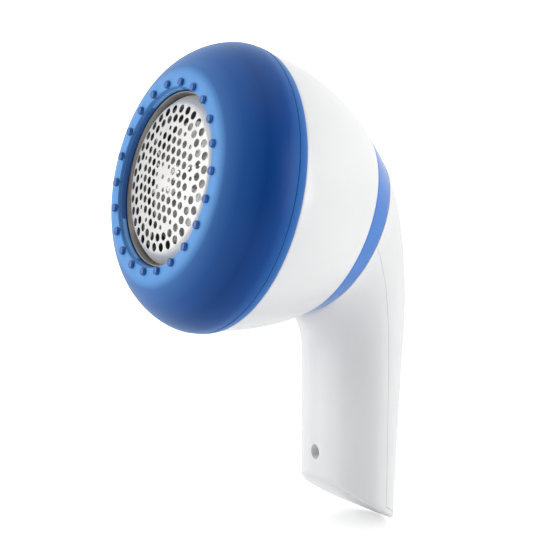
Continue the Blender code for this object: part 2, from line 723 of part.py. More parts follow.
def make_screw_posts(front, rear):
    """The post behind the recessed screw hole, and the one on the cover that the screw goes into."""
    join(front, post("front_post", 2.6 * MM, 51.2, 61.4))
    cut(front, post("screw_recess", SCREW_HOLE_RADIUS, 40.0, 55.5, 20, CUTTERS))
    cut(front, post("screw_way", 1.3 * MM, 50.0, 65.0, 12, CUTTERS))
    join(rear, post("rear_post", 2.6 * MM, 61.8, 73.0))
    cut(rear, post("screw_thread", 1.3 * MM, 60.0, 70.8, 12, CUTTERS))
    head = post("cover_screw", 1.6 * MM, 53.0, 55.2, 16)
    slot = box("screw_slot", (-2.0, 52.0, SCREW_Z - 0.3), (2.0, 53.6, SCREW_Z + 0.3), collection=CUTTERS)
    join(head, post("screw_shank", 1.0 * MM, 54.6, 69.0, 12))
    finish(cut(head, slot), "plated")


def switch_box(name, half_width, front, back, low, high, material=None, bevel=0.0, collection=None):
    """A box on the switch's centre line, with its heights counted from the knob's rest place."""
    low_corner = (-half_width, front, SWITCH_Z + low)
    high_corner = (half_width, back, SWITCH_Z + high)
    return box(name, low_corner, high_corner, material, bevel, collection)


def make_switch(rear):
    half, travel = KNOB_HALF_LENGTH, SWITCH_TRAVEL
    pocket = switch_box("knob_pocket", 4.9, 74.9, 90.0, -half - 0.6, half + travel + 0.6, collection=CUTTERS)
    window = switch_box("knob_window", 1.8, 70.0, 90.0, -3.0, 3.0 + travel, collection=CUTTERS)
    cut(rear, pocket, window)
    knob = switch_box("switch_knob", 4.4, 75.2, 76.9, -half, half, bevel=0.5 * MM)
    for i in range(4):
        z = 2.4 * i - 3.6
        cut(knob, switch_box(f"knob_groove_{i}", 3.4, 76.5, 78.0, z - 0.4, z + 0.4, collection=CUTTERS))
    for side in (-1, 1):
        z = side * 1.9
        join(knob, switch_box(f"fork_{side + 1}", 1.4, 72.9, 75.5, z - 0.6, z + 0.6))
    finish(knob, "white_shell")
    body = switch_box("switch_body", 5.6, 70.2, 72.6, -5.0, 7.0)
    channel = switch_box("lever_channel", 1.5, 71.3, 74.0, -2.0, 2.0 + travel, collection=CUTTERS)
    finish(cut(body, channel), "dark_plastic")
    switch_box("switch_lever", 1.1, 71.6, 74.2, -0.9, 0.9, "grey_plastic")


# ---------------------------------------------------------------- cells, contacts and wires

def make_cells():
    """Two cells side by side, one with its raised end up and one with it down."""
    bottom = CELL_TOP - CELL_LENGTH / MM
    plate = bottom - 2.6
    x = CELL_OFFSET / MM
    left_top = CELL_TOP - 1.1
    contact = CELL_TOP + 1.5
    clear = 0.7
    make_cell("battery_right", x, CELL_TOP, 1)
    make_cell("battery_left", -x, left_top, -1)
    make_contact("contact_plus", x, contact, 5.0)
    make_contact("contact_minus", -x, contact, 5.0)
    box("contact_bridge", (-11.5, CELL_Y - 4.0, plate - 0.4), (11.5, CELL_Y + 4.0, plate), "plated")
    make_spring("spring_bridge", x, bottom - clear, plate + clear)
    make_spring("spring_minus", -x, left_top + clear, contact - clear)


def make_cell(name, x, top, up):
    """A cell with its raised end up (1) or down (-1)."""
    length = CELL_LENGTH / MM
    middle = top - length / 2
    cell = rod(name, CELL_RADIUS, CELL_LENGTH, Matrix.Translation(side_point(CELL_Y, middle, x)), None, 24)
    end = middle + up * (length / 2 + 0.45)
    nub = rod(f"{name}_nub", 2.7 * MM, 1.5 * MM, Matrix.Translation(side_point(CELL_Y, end, x)), None, 12)
    return finish(join(cell, nub), "cell_sleeve")


def make_contact(name, x, z, half):
    """A flat contact with a solder tag turned up at its rear edge."""
    plate = box(name, (x - half, CELL_Y - 4.0, z), (x + half, CELL_Y + 5.0, z + 0.4))
    tag = box(f"{name}_tag", (x - 1.2, CELL_Y + 4.6, z + 0.1), (x + 1.2, CELL_Y + 5.0, z + 4.0))
    finish(join(plate, tag), "plated")


def make_spring(name, x, top, bottom, turns=2, per_turn=SPRING_SIDES):
    """A conical battery spring that narrows from its plate, at bottom, to the cell, at top."""
    points = []
    count = turns * per_turn
    for i in range(count + 1):
        angle = 2 * math.pi * i / per_turn
        radius = 3.6 - 1.4 * i / count
        z = bottom + (top - bottom) * i / count
        points.append((x + radius * math.cos(angle), CELL_Y + radius * math.sin(angle), z))
    tube(name, points, 0.35 * MM, "plated")


def make_tray():
    """The moulded frame that spaces the cells from the front shell and carries the upper contacts."""
    top = CELL_TOP + 2.3
    outline = [(53.3, -74.0), (54.6, -74.0), (54.6, top), (59.0, top), (59.0, top + 1.2), (53.3, top + 1.2)]
    tray = side_slab("battery_tray", outline, 11.0)
    join(tray, box("tray_top", (-12.6, 56.7, top), (12.6, 66.9, top + 1.2)))
    finish(tray, "dark_plastic")


def smooth_route(points, per_leg=4):
    """A smooth route through hand-chosen points."""
    route = []
    padded = [points[0], *points, points[-1]]
    for a, b, c, d in zip(padded, padded[1:], padded[2:], padded[3:]):
        a, b, c, d = (Vector(p) for p in (a, b, c, d))
        for i in range(per_leg):
            t = i / per_leg
            route.append(tuple(0.5 * (2 * b + (c - a) * t + (2 * a - 5 * b + 4 * c - d) * t ** 2
                                      + (3 * b - a - 3 * c + d) * t ** 3)))
    return route + [points[-1]]


def make_wires():
    radius = 0.55 * MM
    red = [(7.6, 68.8, -23.0), (8.0, 70.6, -22.6), (6.6, 71.6, -26.0), (4.8, 71.6, -29.6)]
    black = [(-7.6, 68.8, -23.0), (-8.4, 68.6, -19.4), (-7.6, 65.2, -16.0), (-6.6, 60.7, -14.3)]
    link = [(-3.2, 71.6, -29.6), (-2.0, 71.4, -22.0), (4.0, 68.6, -16.4), (6.6, 60.9, -14.3)]
    tube("wire_red", smooth_route(red), radius, "red_wire")
    tube("wire_black", smooth_route(black), radius, "black_wire")
    tube("wire_link", smooth_route(link), radius, "red_wire")


def main():
    make_height_cap()
    make_foil()
    make_foil_frame()
    make_foil_carrier()
    make_cutter()
    make_drum()
    make_motor()
    make_motor_mount()
    make_band()
    front, rear = make_shells()
    make_screw_posts(front, rear)
    make_switch(rear)
    finish(front, "white_shell")
    finish(rear, "white_shell")
    make_cells()
    make_tray()
    make_wires()


main()
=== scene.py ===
"""The looks of a fabric shaver: fine shells, foil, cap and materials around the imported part, with a studio."""

import json
import math

import bmesh
import bpy
from mathutils import Matrix, Vector


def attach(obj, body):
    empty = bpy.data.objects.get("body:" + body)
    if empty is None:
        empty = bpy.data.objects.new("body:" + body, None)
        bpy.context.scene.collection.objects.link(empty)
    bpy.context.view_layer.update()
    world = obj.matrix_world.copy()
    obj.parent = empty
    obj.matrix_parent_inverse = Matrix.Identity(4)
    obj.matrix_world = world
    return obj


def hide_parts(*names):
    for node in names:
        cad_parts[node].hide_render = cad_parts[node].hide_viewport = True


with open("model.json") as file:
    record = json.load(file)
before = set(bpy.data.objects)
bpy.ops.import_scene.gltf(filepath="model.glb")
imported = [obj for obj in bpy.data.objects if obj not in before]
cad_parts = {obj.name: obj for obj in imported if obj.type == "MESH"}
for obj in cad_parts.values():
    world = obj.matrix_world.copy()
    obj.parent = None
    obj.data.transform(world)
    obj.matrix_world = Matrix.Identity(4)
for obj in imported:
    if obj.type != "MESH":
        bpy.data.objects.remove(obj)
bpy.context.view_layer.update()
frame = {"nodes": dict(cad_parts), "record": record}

# Sizes are in millimetres, from the middle of the stud circle, and MM turns them into metres.
MM = 0.001
SAME_PLACE = 1e-7
GAP = 0.3
AROUND = 96

# Head: radii from the head's axis, and depths behind the stud face.
STUD_CIRCLE = 27.0
STUD_COUNT = 22
STUD_RADIUS = 1.2
STUD_HEIGHT = 1.0
STUD_ROUNDING = 0.45
CAP_LIP_RADIUS = 25.4
CAP_FLAT_RADIUS = 28.2
CAP_RADIUS = 41.9
CAP_WIDEST = 16.3
CAP_REAR_RADIUS = 40.9
CAP_DEPTH = 21.2
CAP_WALL = 1.8
CAP_FULLNESS = 1.2
CAP_LIP_DEPTH = 5.5
CAP_REAR_TURN = 0.92
CAP_GROOVE = 0.22
CAP_GROOVE_STEP = 7
CLIP_COUNT = 3
CLIP_FRONT, CLIP_BACK = 1.1, 2.3
CLIP_RISE = 0.12
CLIP_START = 93
CLIP_SWEEP = 38
SPIGOT_RADIUS = 37.8

# Foil.
FOIL_RADIUS = 24.1
FOIL_THICK = 0.12
FOIL_DOME_RADIUS = 117.0
FOIL_MARGIN_RADIUS = 21.3
FOIL_MARGIN_DROP = 2.35
FOIL_MARGIN_ROLL = 1.3
FOIL_TOP = -0.1
ROW_COUNT = 32
ROWS = ((19.8, 0.0, 1.25), (17.0, 0.5, 1.2))
LATTICE_PITCH = 3.12
LATTICE_TURN = math.radians(7.7)
LAST_RING = 21
FIRST_RING_SHIFT = 0.7
HOLE_RADIUS = 1.1
SMALL_HOLE_RADIUS = 0.66
FRAME_RADIUS = 25.1
FRAME_TOP = 2.5
FRAME_BOTTOM = 6.0
CARRIER_BORE = 23.3
CARRIER_STEP = 8.0
CARRIER_WALL = 1.5
SKIRT_END = 17.0

# Drum, band, neck and handle: the curves are seen from the side, and the two ends of the band are
# circles by their middle, radius and lean.
WALL = 1.8
DRUM_FRONT = 12.0
DRUM_SHOULDER = 21.5
DRUM_TOP_CURVE = ((21.5, 40.6), (37.5, 41.0), (53.3, 29.3), (55.5, 27.4))
DRUM_BOTTOM_CURVE = ((21.5, -40.6), (33.0, -38.9), (41.0, -36.2), (47.3, -32.7))
MOUTH_BACK = 27.0
BAND_FRONT = (49.44, -14.31, 30.35, 21.01)
BAND_REAR = (55.70, -18.23, 25.92, 25.86)
NECK_BACK = ((67.0, 5.1), (70.9, 1.8), (77.6, -13.3), (75.6, -54.0))
NECK_FRONT = ((44.4, -41.55), (44.2, -44.0), (50.4, -48.0), (50.3, -54.0))
NECK_HALF_WIDTHS = (25.9, 21.5, 22.6, 19.8)
GRIP_FRONT = 50.3
GRIP_TOP, GRIP_END = -54.0, -112.0
GRIP_BACK = (75.6, 72.1)
GRIP_HALF_WIDTHS = (19.8, 18.2)
TIP_LINE = ((50.3, -92.0), (58.0, -98.0), (65.0, -102.3), (72.6, -105.8))
TIP_ROUNDING = 1.0
TIP_SECTION = -98.0
GRIP_STEP = 3.5
# The seam between the front shell and the rear cover, seen from the side.
SEAM = ((44.0, -11.0), (54.6, -18.6), (57.6, -23.5), (58.8, -26.8), (60.2, -31.2), (61.3, -37.0), (62.4, -45.6),
        (63.2, -55.0), (63.7, -99.0), (69.0, -102.0), (74.0, -104.0), (80.0, -105.8))
SEAM_GAP = 0.09
END_WALL = 1.9
FINE_GAP = 0.06
# Screw and switch.
SCREW_Z = -84.3
POST_RADIUS = 2.6
POST_MEETING = 61.6
RECESS_RADIUS = 1.9
RECESS_END = 55.5
SCREW_BORE = 1.3
THREAD_END = 70.8
SWITCH_Z = -38.0
SWITCH_TRAVEL = 4.0
POCKET_FLOOR = 74.9
OUTSIDE = 90.0
GROOVE_COUNT = 5
GROOVE_PITCH = 2.2

# Inside.
BLADE_COUNT = 3
HUB_RADIUS = 17.5
HUB_DISC_DEPTH = 7.0
HUB_END = 13.0
HUB_BORE = 1.8
FIN_PLACES = 12
FIN_WIDTH = 0.9
FIN_TURN = 0.3
SPRING_WIRE = 0.35
CUTTER_SPRING_RADIUS = 2.9
CUTTER_SPRING_TURNS = 3
CUTTER_SPRING_ENDS = (13.9, 18.9)
FLOOR_FRONT, FLOOR_BACK = 24.0, 26.0
FLOOR_HOLE = 4.4
BUSH_FRONT = 22.6
BUSH_BORE = 1.7
MOTOR_RADIUS = 11.0
MOTOR_FRONT, MOTOR_BACK = 33.5, 55.5
CAN_WALL = 0.8
SLEEVE_RADIUS = 12.9
SLEEVE_FRONT, SLEEVE_BACK = 37.0, 54.8
CELL_RADIUS = 7.25
CELL_HALF_LENGTH = 24.75
CELL_X, CELL_Y = 7.6, 62.6
CELL_SPRING_RADII = (3.6, 2.2)
WIRE_RADIUS = 0.55

# Camera.
AZIMUTH = math.radians(59.468)
ELEVATION = math.radians(7.838)
DISTANCE = 601.8
AIM_RIGHT, AIM_UP = 29.4, -25.5
LENS = 144.4

# Area lights: offset from the head's middle, size, and power in watts.
LIGHTS = {
    "key": ((-0.34, -0.50, 0.06), (0.5, 0.6), 2.2),
    "fill": ((0.54, 0.27, 0.09), (0.4, 0.6), 1.7),
    "top": ((0.05, 0.05, 0.6), (0.5, 0.4), 0.2),
}


# ---------------------------------------------------------------- frames

def head_matrix():
    """Local X across, Y up the face and Z out of the face, from the middle of the stud circle."""
    mount = next(m for m in frame["record"]["mounts"] if m["name"] == "stud_face")
    out = Vector(mount["axis"]).normalized()
    up = Vector((0.0, out.z, -out.y))
    middle = Vector(mount["pos_m"]) - out * STUD_HEIGHT * MM - up * STUD_CIRCLE * MM
    place = Matrix((Vector((1.0, 0.0, 0.0)), up, out)).transposed().to_4x4()
    return Matrix.Translation(middle) @ place


HEAD = head_matrix()
CENTRE = HEAD.translation.copy()


def side_point(y, z, x=0.0):
    """A place seen from the side, in millimetres from the middle of the stud circle."""
    return CENTRE + Vector((x, y, z)) * MM


def head_point(depth, height, x=0.0):
    """A place behind the stud face and up from the head's axis, in millimetres."""
    return HEAD @ (Vector((x, height, -depth)) * MM)


def bezier(points, t):
    a, b, c, d = (Vector(p) if hasattr(p, "__len__") else p for p in points)
    u = 1.0 - t
    return a * u ** 3 + b * 3 * u * u * t + c * 3 * u * t * t + d * t ** 3


def steps(count):
    return [i / (count - 1) for i in range(count)]


def mix(pair, t):
    return pair[0] + (pair[1] - pair[0]) * t


# ---------------------------------------------------------------- meshes

def new_object(name, bm, matrix=None):
    bmesh.ops.recalc_face_normals(bm, faces=bm.faces)
    mesh = bpy.data.meshes.new(name)
    bm.to_mesh(mesh)
    bm.free()
    obj = bpy.data.objects.new(name, mesh)
    bpy.context.scene.collection.objects.link(obj)
    if matrix is not None:
        obj.matrix_world = matrix
    return smooth(obj)


def smooth(obj, angle=32.0):
    obj.data.shade_smooth()
    obj.data.set_sharp_from_angle(angle=math.radians(angle))
    return obj


def rounded(corners, arc=5):
    """An outline from (u, v, radius) corners: each corner with a radius becomes an arc."""
    outline = []
    count = len(corners)
    for i, (u, v, radius) in enumerate(corners):
        here = Vector((u, v))
        if not radius:
            outline.append(here)
            continue
        before = (Vector(corners[i - 1][:2]) - here)
        after = (Vector(corners[(i + 1) % count][:2]) - here)
        half = before.angle(after) / 2
        reach = min(radius / math.tan(half), before.length * 0.49, after.length * 0.49)
        start, end = here + before.normalized() * reach, here + after.normalized() * reach
        for t in steps(arc):
            outline.append(start * (1 - t) ** 2 + here * 2 * t * (1 - t) + end * t * t)
    return [tuple(p) for p in outline]


def turned(name, profile, segments=AROUND * 2, matrix=None, start=0.0, sweep=2 * math.pi):
    """Turns a closed outline of (radius, depth) points about the head's axis, or through part of a turn."""
    bm = bmesh.new()
    whole = sweep > 2 * math.pi - 0.001
    loops = []
    for i in range(segments if whole else segments + 1):
        angle = start + sweep * i / segments
        across, up = MM * math.cos(angle), MM * math.sin(angle)
        loops.append([bm.verts.new((r * across, r * up, -s * MM)) for r, s in profile])
    count = len(profile)
    pairs = list(zip(loops, loops[1:]))
    if whole:
        pairs.append((loops[-1], loops[0]))
    for a, b in pairs:
        for i in range(count):
            j = (i + 1) % count
            bm.faces.new((a[i], a[j], b[j], b[i]))
    if not whole:
        bm.faces.new(loops[0])
        bm.faces.new(loops[-1])
    bmesh.ops.remove_doubles(bm, verts=bm.verts, dist=SAME_PLACE)
    return new_object(name, bm, matrix or HEAD)


def skin(name, loops, ring=False):
    """Skins a row of loops, closed with a face at each end or, as a ring, from the last loop to the first."""
    bm = bmesh.new()
    rows = [[bm.verts.new(p) for p in loop] for loop in loops]
    pairs = list(zip(rows, rows[1:]))
    if ring:
        pairs.append((rows[-1], rows[0]))
    for a, b in pairs:
        for i in range(len(a)):
            j = (i + 1) % len(a)
            bm.faces.new((a[i], a[j], b[j], b[i]))
    if not ring:
        bm.faces.new(rows[0])
        bm.faces.new(rows[-1])
    bmesh.ops.remove_doubles(bm, verts=bm.verts, dist=SAME_PLACE)
    return new_object(name, bm)


def oval(low, high, half_width, inset=0.0):
    """An oval loop with one axis from low to high in the mirror plane, and the other along X."""
    middle, half = (low + high) / 2, (high - low) / 2
    half = half * ((half.length - inset * MM) / half.length)
    loop = []
    for i in range(AROUND):
        angle = 2 * math.pi * i / AROUND
        across = Vector(((half_width - inset) * MM * math.sin(angle), 0.0, 0.0))
        loop.append(middle + half * math.cos(angle) + across)
    return loop


def head_circle(depth, radius):
    up = (HEAD.to_3x3() @ Vector((0.0, 1.0, 0.0))) * radius * MM
    middle = head_point(depth, 0.0)
    return oval(middle - up, middle + up, radius)


def band_circle(ring, inset=0.0, shift=0.0):
    """A leaning circle from its middle, radius and lean, drawn inwards, or shifted along its own axis."""
    y, z, radius, lean = ring
    lean = math.radians(lean)
    up = Vector((0.0, math.sin(lean), math.cos(lean))) * radius * MM
    middle = side_point(y, z) + Vector((0.0, math.cos(lean), -math.sin(lean))) * shift * MM
    return oval(middle - up, middle + up, radius, inset)


def prism(name, outline, width):
    """A solid across the object from an outline in side-view millimetres."""
    return skin(name, [[side_point(y, z, side) for y, z in outline] for side in (-width / 2, width / 2)])


def pad(name, x, z, half_x, half_z, back, front, corner, edge=0.0):
    """A block with rounded corners seen from behind, from front to back, with its back edge softened."""
    outline = rounded([(x - half_x, z - half_z, corner), (x + half_x, z - half_z, corner),
                       (x + half_x, z + half_z, corner), (x - half_x, z + half_z, corner)], 7)
    loops = [[side_point(front, v, u) for u, v in outline]]
    if not edge:
        loops.append([side_point(back, v, u) for u, v in outline])
    else:
        for t in steps(5):
            turn = t * math.pi / 2
            pull = edge * (1 - math.cos(turn))
            level = back - edge + edge * math.sin(turn)
            scale_x, scale_z = (half_x - pull) / half_x, (half_z - pull) / half_z
            loops.append([side_point(level, z + (v - z) * scale_z, x + (u - x) * scale_x) for u, v in outline])
    return skin(name, loops)


def rod(name, radius, low, high, sides=32, taper=0.0):
    """A round bar between two points, in metres."""
    bm = bmesh.new()
    bmesh.ops.create_cone(bm, cap_ends=True, segments=sides, radius1=radius * MM, radius2=(radius - taper) * MM,
                          depth=(high - low).length)
    turn = (high - low).to_track_quat("Z", "Y").to_matrix().to_4x4()
    return new_object(name, bm, Matrix.Translation((low + high) / 2) @ turn)


def combine(target, tool, operation):
    """Adds, cuts or intersects a piece with a tool, which is used up."""
    modifier = target.modifiers.new(operation, "BOOLEAN")
    modifier.operation = operation
    modifier.solver = "EXACT"
    modifier.object = tool
    bpy.context.view_layer.update()
    mesh = bpy.data.meshes.new_from_object(target.evaluated_get(bpy.context.evaluated_depsgraph_get()))
    target.modifiers.clear()
    target.data = mesh
    bpy.data.objects.remove(tool)
    return smooth(target)


def gather(name, pieces):
    """Joins pieces into one object."""
    bm = bmesh.new()
    for piece in pieces:
        piece.data.transform(piece.matrix_world)
        bm.from_mesh(piece.data)
        bpy.data.objects.remove(piece)
    return new_object(name, bm)


# ---------------------------------------------------------------- materials

def node_tools(name):
    """A new material with its node tree, its shader, and a function that adds nodes with their values."""
    material = bpy.data.materials.new(name)
    material.use_nodes = True
    tree = material.node_tree
    shader = tree.nodes["Principled BSDF"]

    def add(kind, **values):
        node = tree.nodes.new(kind)
        for key, value in values.items():
            if key in node.inputs:
                node.inputs[key].default_value = value
            else:
                setattr(node, key, value)
        return node

    return material, tree, shader, add


def grain(tree, add, scale, detail=3.0, stretch=None):
    """Noise in the piece's own coordinates, at a scale per metre."""
    source = add("ShaderNodeTexCoord").outputs["Object"]
    if stretch:
        mapping = add("ShaderNodeMapping")
        mapping.inputs["Scale"].default_value = stretch
        tree.links.new(source, mapping.inputs["Vector"])
        source = mapping.outputs["Vector"]
    noise = add("ShaderNodeTexNoise", Scale=scale, Detail=detail)
    tree.links.new(source, noise.inputs["Vector"])
    return noise


def ranged(tree, add, source, low, high):
    """Maps values from 0 to 1 onto another range."""
    node = add("ShaderNodeMapRange")
    node.inputs["To Min"].default_value = low
    node.inputs["To Max"].default_value = high
    tree.links.new(source, node.inputs["Value"])
    return node.outputs["Result"]


def toned(tree, add, source, dark, light):
    """Turns noise into a colour between two near tones."""
    ramp = add("ShaderNodeValToRGB")
    ramp.color_ramp.elements[0].color = (*dark, 1.0)
    ramp.color_ramp.elements[1].color = (*light, 1.0)
    ramp.color_ramp.elements[0].position = 0.3
    ramp.color_ramp.elements[1].position = 0.7
    tree.links.new(source, ramp.inputs["Fac"])
    return ramp.outputs["Color"]


def set_stops(ramp, stops):
    elements = ramp.color_ramp.elements
    while len(elements) < len(stops):
        elements.new(0.5)
    for element, (position, colour) in zip(elements, stops):
        element.position = position
        element.color = (*colour, 1.0)


def plastic(name, dark, light, roughness=(0.2, 0.3), coat=0.0, peel=0.02, gloss=0.5):
    """Moulded plastic: a slight cloudiness in its colour and gloss, and the fine skin of a polished mould."""
    material, tree, shader, add = node_tools(name)
    cloud = grain(tree, add, 60.0)
    fine = grain(tree, add, 1600.0, 2.0)
    tree.links.new(toned(tree, add, cloud.outputs["Fac"], dark, light), shader.inputs["Base Color"])
    tree.links.new(ranged(tree, add, fine.outputs["Fac"], *roughness), shader.inputs["Roughness"])
    bump = add("ShaderNodeBump", Strength=peel, Distance=0.0001)
    tree.links.new(fine.outputs["Fac"], bump.inputs["Height"])
    tree.links.new(bump.outputs["Normal"], shader.inputs["Normal"])
    shader.inputs["Coat Weight"].default_value = coat
    shader.inputs["Coat Roughness"].default_value = 0.06
    shader.inputs["Specular IOR Level"].default_value = gloss
    return material


def painted_light_by_depth(material, stops):
    """Paints light and shade onto a head piece: multiplies its colour by one that changes with depth behind the
    stud face, in millimetres.
    """
    tree = material.node_tree
    shader = tree.nodes["Principled BSDF"]
    own = shader.inputs["Base Color"].links[0].from_socket
    deepest = stops[-1][0]
    coordinates = tree.nodes.new("ShaderNodeTexCoord")
    split = tree.nodes.new("ShaderNodeSeparateXYZ")
    scaled = tree.nodes.new("ShaderNodeMapRange")
    scaled.inputs["From Min"].default_value = 0.0
    scaled.inputs["From Max"].default_value = -deepest * MM
    ramp = tree.nodes.new("ShaderNodeValToRGB")
    set_stops(ramp, [(depth / deepest, colour) for depth, colour in stops])
    blend = tree.nodes.new("ShaderNodeMix")
    blend.data_type = "RGBA"
    blend.blend_type = "MULTIPLY"
    blend.inputs["Factor"].default_value = 1.0
    tree.links.new(coordinates.outputs["Object"], split.inputs["Vector"])
    tree.links.new(split.outputs["Z"], scaled.inputs["Value"])
    tree.links.new(scaled.outputs["Result"], ramp.inputs["Fac"])
    tree.links.new(own, blend.inputs["A"])
    tree.links.new(ramp.outputs["Color"], blend.inputs["B"])
    tree.links.new(blend.outputs["Result"], shader.inputs["Base Color"])
    return material


def cap_plastic(name):
    """The cap's blue plastic with painted light and shade: a painted highlight at its flat front, painted shade
    deepest over its full body, and painted light again at the rim.
    """
    material = plastic(name, (0.94, 0.94, 0.94), (1.0, 1.0, 1.0), (0.28, 0.36), peel=0.03, gloss=0.15)
    shader = material.node_tree.nodes["Principled BSDF"]
    shader.inputs["Sheen Weight"].default_value = 0.42
    shader.inputs["Sheen Roughness"].default_value = 0.45
    shader.inputs["Sheen Tint"].default_value = (0.16, 0.50, 1.0, 1.0)
    # The blue and its painted light and shade both come from the tints by depth.
    return painted_light_by_depth(material, CAP_BLUE_WITH_PAINTED_LIGHT)


def metal(name, dark, light, roughness=(0.22, 0.36), scratch=0.12, stretch=(1.0, 1.0, 14.0), metallic=1.0):
    """Drawn or turned metal: fine marks along one direction, and uneven gloss."""
    material, tree, shader, add = node_tools(name)
    marks = grain(tree, add, 700.0, 4.0, stretch)
    cloud = grain(tree, add, 120.0)
    tree.links.new(toned(tree, add, cloud.outputs["Fac"], dark, light), shader.inputs["Base Color"])
    tree.links.new(ranged(tree, add, marks.outputs["Fac"], *roughness), shader.inputs["Roughness"])
    bump = add("ShaderNodeBump", Strength=scratch, Distance=0.00005)
    tree.links.new(marks.outputs["Fac"], bump.inputs["Height"])
    tree.links.new(bump.outputs["Normal"], shader.inputs["Normal"])
    shader.inputs["Metallic"].default_value = metallic
    return material


def sleeve_material(name):
    """A cell's printed sleeve: dark along its body, gold near one end, and steel at both rims."""
    material, tree, shader, add = node_tools(name)
    coordinates = add("ShaderNodeTexCoord")
    split = add("ShaderNodeSeparateXYZ")
    tree.links.new(coordinates.outputs["Generated"], split.inputs["Vector"])
    ramp = add("ShaderNodeValToRGB")
    ramp.color_ramp.interpolation = "CONSTANT"
    set_stops(ramp, SLEEVE_BANDS)
    tree.links.new(split.outputs["Z"], ramp.inputs["Fac"])
    tree.links.new(ramp.outputs["Color"], shader.inputs["Base Color"])
    fine = grain(tree, add, 900.0)
    tree.links.new(ranged(tree, add, fine.outputs["Fac"], 0.22, 0.34), shader.inputs["Roughness"])
    shader.inputs["Metallic"].default_value = 0.5
    return material


# Colours by depth in millimetres, and a sleeve's by its share of the length. The cap's tints hold its blue
# together with painted light and shade. The foil's tints hold only painted light and shade, and the sleeve's are
# its print.
# Cap: a painted highlight at the front, painted shade over the body from about 1 to 18 mm deep, and painted
# light at the rim.
CAP_BLUE_WITH_PAINTED_LIGHT = ((0.0, (0.120, 0.360, 0.790)), (0.25, (0.110, 0.340, 0.760)), (1.1, (0.045, 0.155, 0.450)),
             (4.2, (0.018, 0.095, 0.360)), (9.5, (0.003, 0.050, 0.245)), (14.8, (0.005, 0.062, 0.290)),
             (18.2, (0.018, 0.115, 0.400)), (21.2, (0.045, 0.170, 0.500)))
# Foil: painted shade over the dome's middle and painted light on the rolled-back margin, where its real shade
# falls.
FOIL_PAINTED_LIGHT = ((0.0, (0.70, 0.70, 0.70)), (1.5, (0.70, 0.70, 0.70)), (3.0, (1.0, 1.0, 1.0)),
              (4.5, (1.0, 1.0, 1.0)))
SLEEVE_BANDS = ((0.0, (0.62, 0.62, 0.62)), (0.05, (0.02, 0.10, 0.14)), (0.72, (0.75, 0.50, 0.16)),
                (0.95, (0.62, 0.62, 0.62)))
EVEN = (1.0, 1.0, 1.0)
WOUND = (1.0, 1.0, 30.0)

MATERIALS = {
    "white": plastic("white_gloss", (0.835, 0.84, 0.845), (0.86, 0.863, 0.866), (0.16, 0.22), coat=0.3),
    "satin": metal("satin_steel", (0.80, 0.80, 0.79), (0.92, 0.92, 0.91), (0.20, 0.34), metallic=0.35),
    "blue": cap_plastic("blue_satin_painted_light"),
    "stud": plastic("blue_stud", (0.020, 0.120, 0.400), (0.024, 0.135, 0.440), (0.22, 0.28), gloss=0.4),
    # The clips' blue is the cap's blue painted paler: a painted highlight on their ledge.
    "clip": plastic("blue_clip_painted_light", (0.13, 0.37, 0.80), (0.15, 0.41, 0.84), (0.24, 0.32)),
    "band": plastic("blue_gloss", (0.035, 0.190, 0.600), (0.045, 0.210, 0.650), (0.05, 0.09), peel=0.0,
                    gloss=0.35),
    # The foil's steel carries painted light and shade by depth.
    "foil": painted_light_by_depth(metal("foil_steel_painted_light", (0.90, 0.89, 0.88), (0.98, 0.97, 0.96), (0.32, 0.44), 0.06, EVEN,
                           metallic=0.3), FOIL_PAINTED_LIGHT),
    "frame": metal("frame_steel", (0.18, 0.17, 0.16), (0.25, 0.235, 0.22), (0.25, 0.38)),
    "blade": metal("blade_steel", (0.55, 0.55, 0.55), (0.70, 0.70, 0.70), (0.15, 0.30)),
    "plated": metal("plated_steel", (0.62, 0.60, 0.55), (0.76, 0.74, 0.70), (0.18, 0.30)),
    "brass": metal("brass", (0.55, 0.40, 0.14), (0.70, 0.52, 0.22), (0.22, 0.34)),
    "copper": metal("copper", (0.50, 0.20, 0.09), (0.68, 0.32, 0.16), (0.25, 0.40), 0.3, WOUND),
    "black": plastic("black_moulded", (0.012, 0.012, 0.013), (0.022, 0.022, 0.024), (0.38, 0.52), peel=0.15),
    "grey": plastic("grey_moulded", (0.30, 0.32, 0.34), (0.37, 0.39, 0.41), (0.35, 0.48), peel=0.1),
    "magnet": plastic("magnet_ferrite", (0.020, 0.020, 0.022), (0.045, 0.045, 0.048), (0.5, 0.7), peel=0.3),
    "red_wire": plastic("red_insulation", (0.42, 0.010, 0.010), (0.52, 0.018, 0.016), (0.34, 0.46)),
    "black_wire": plastic("black_insulation", (0.010, 0.010, 0.010), (0.018, 0.018, 0.018), (0.34, 0.46)),
    "sleeve": sleeve_material("cell_sleeve"),
}


def place(obj, body, material, slot, *nodes):
    """Puts a piece on a body with its material, in place of the CAD nodes that it stands for."""
    obj.data.materials.clear()
    obj.data.materials.append(MATERIALS[material])
    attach(obj, body)
    if nodes:
        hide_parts(*nodes)


# ---------------------------------------------------------------- head

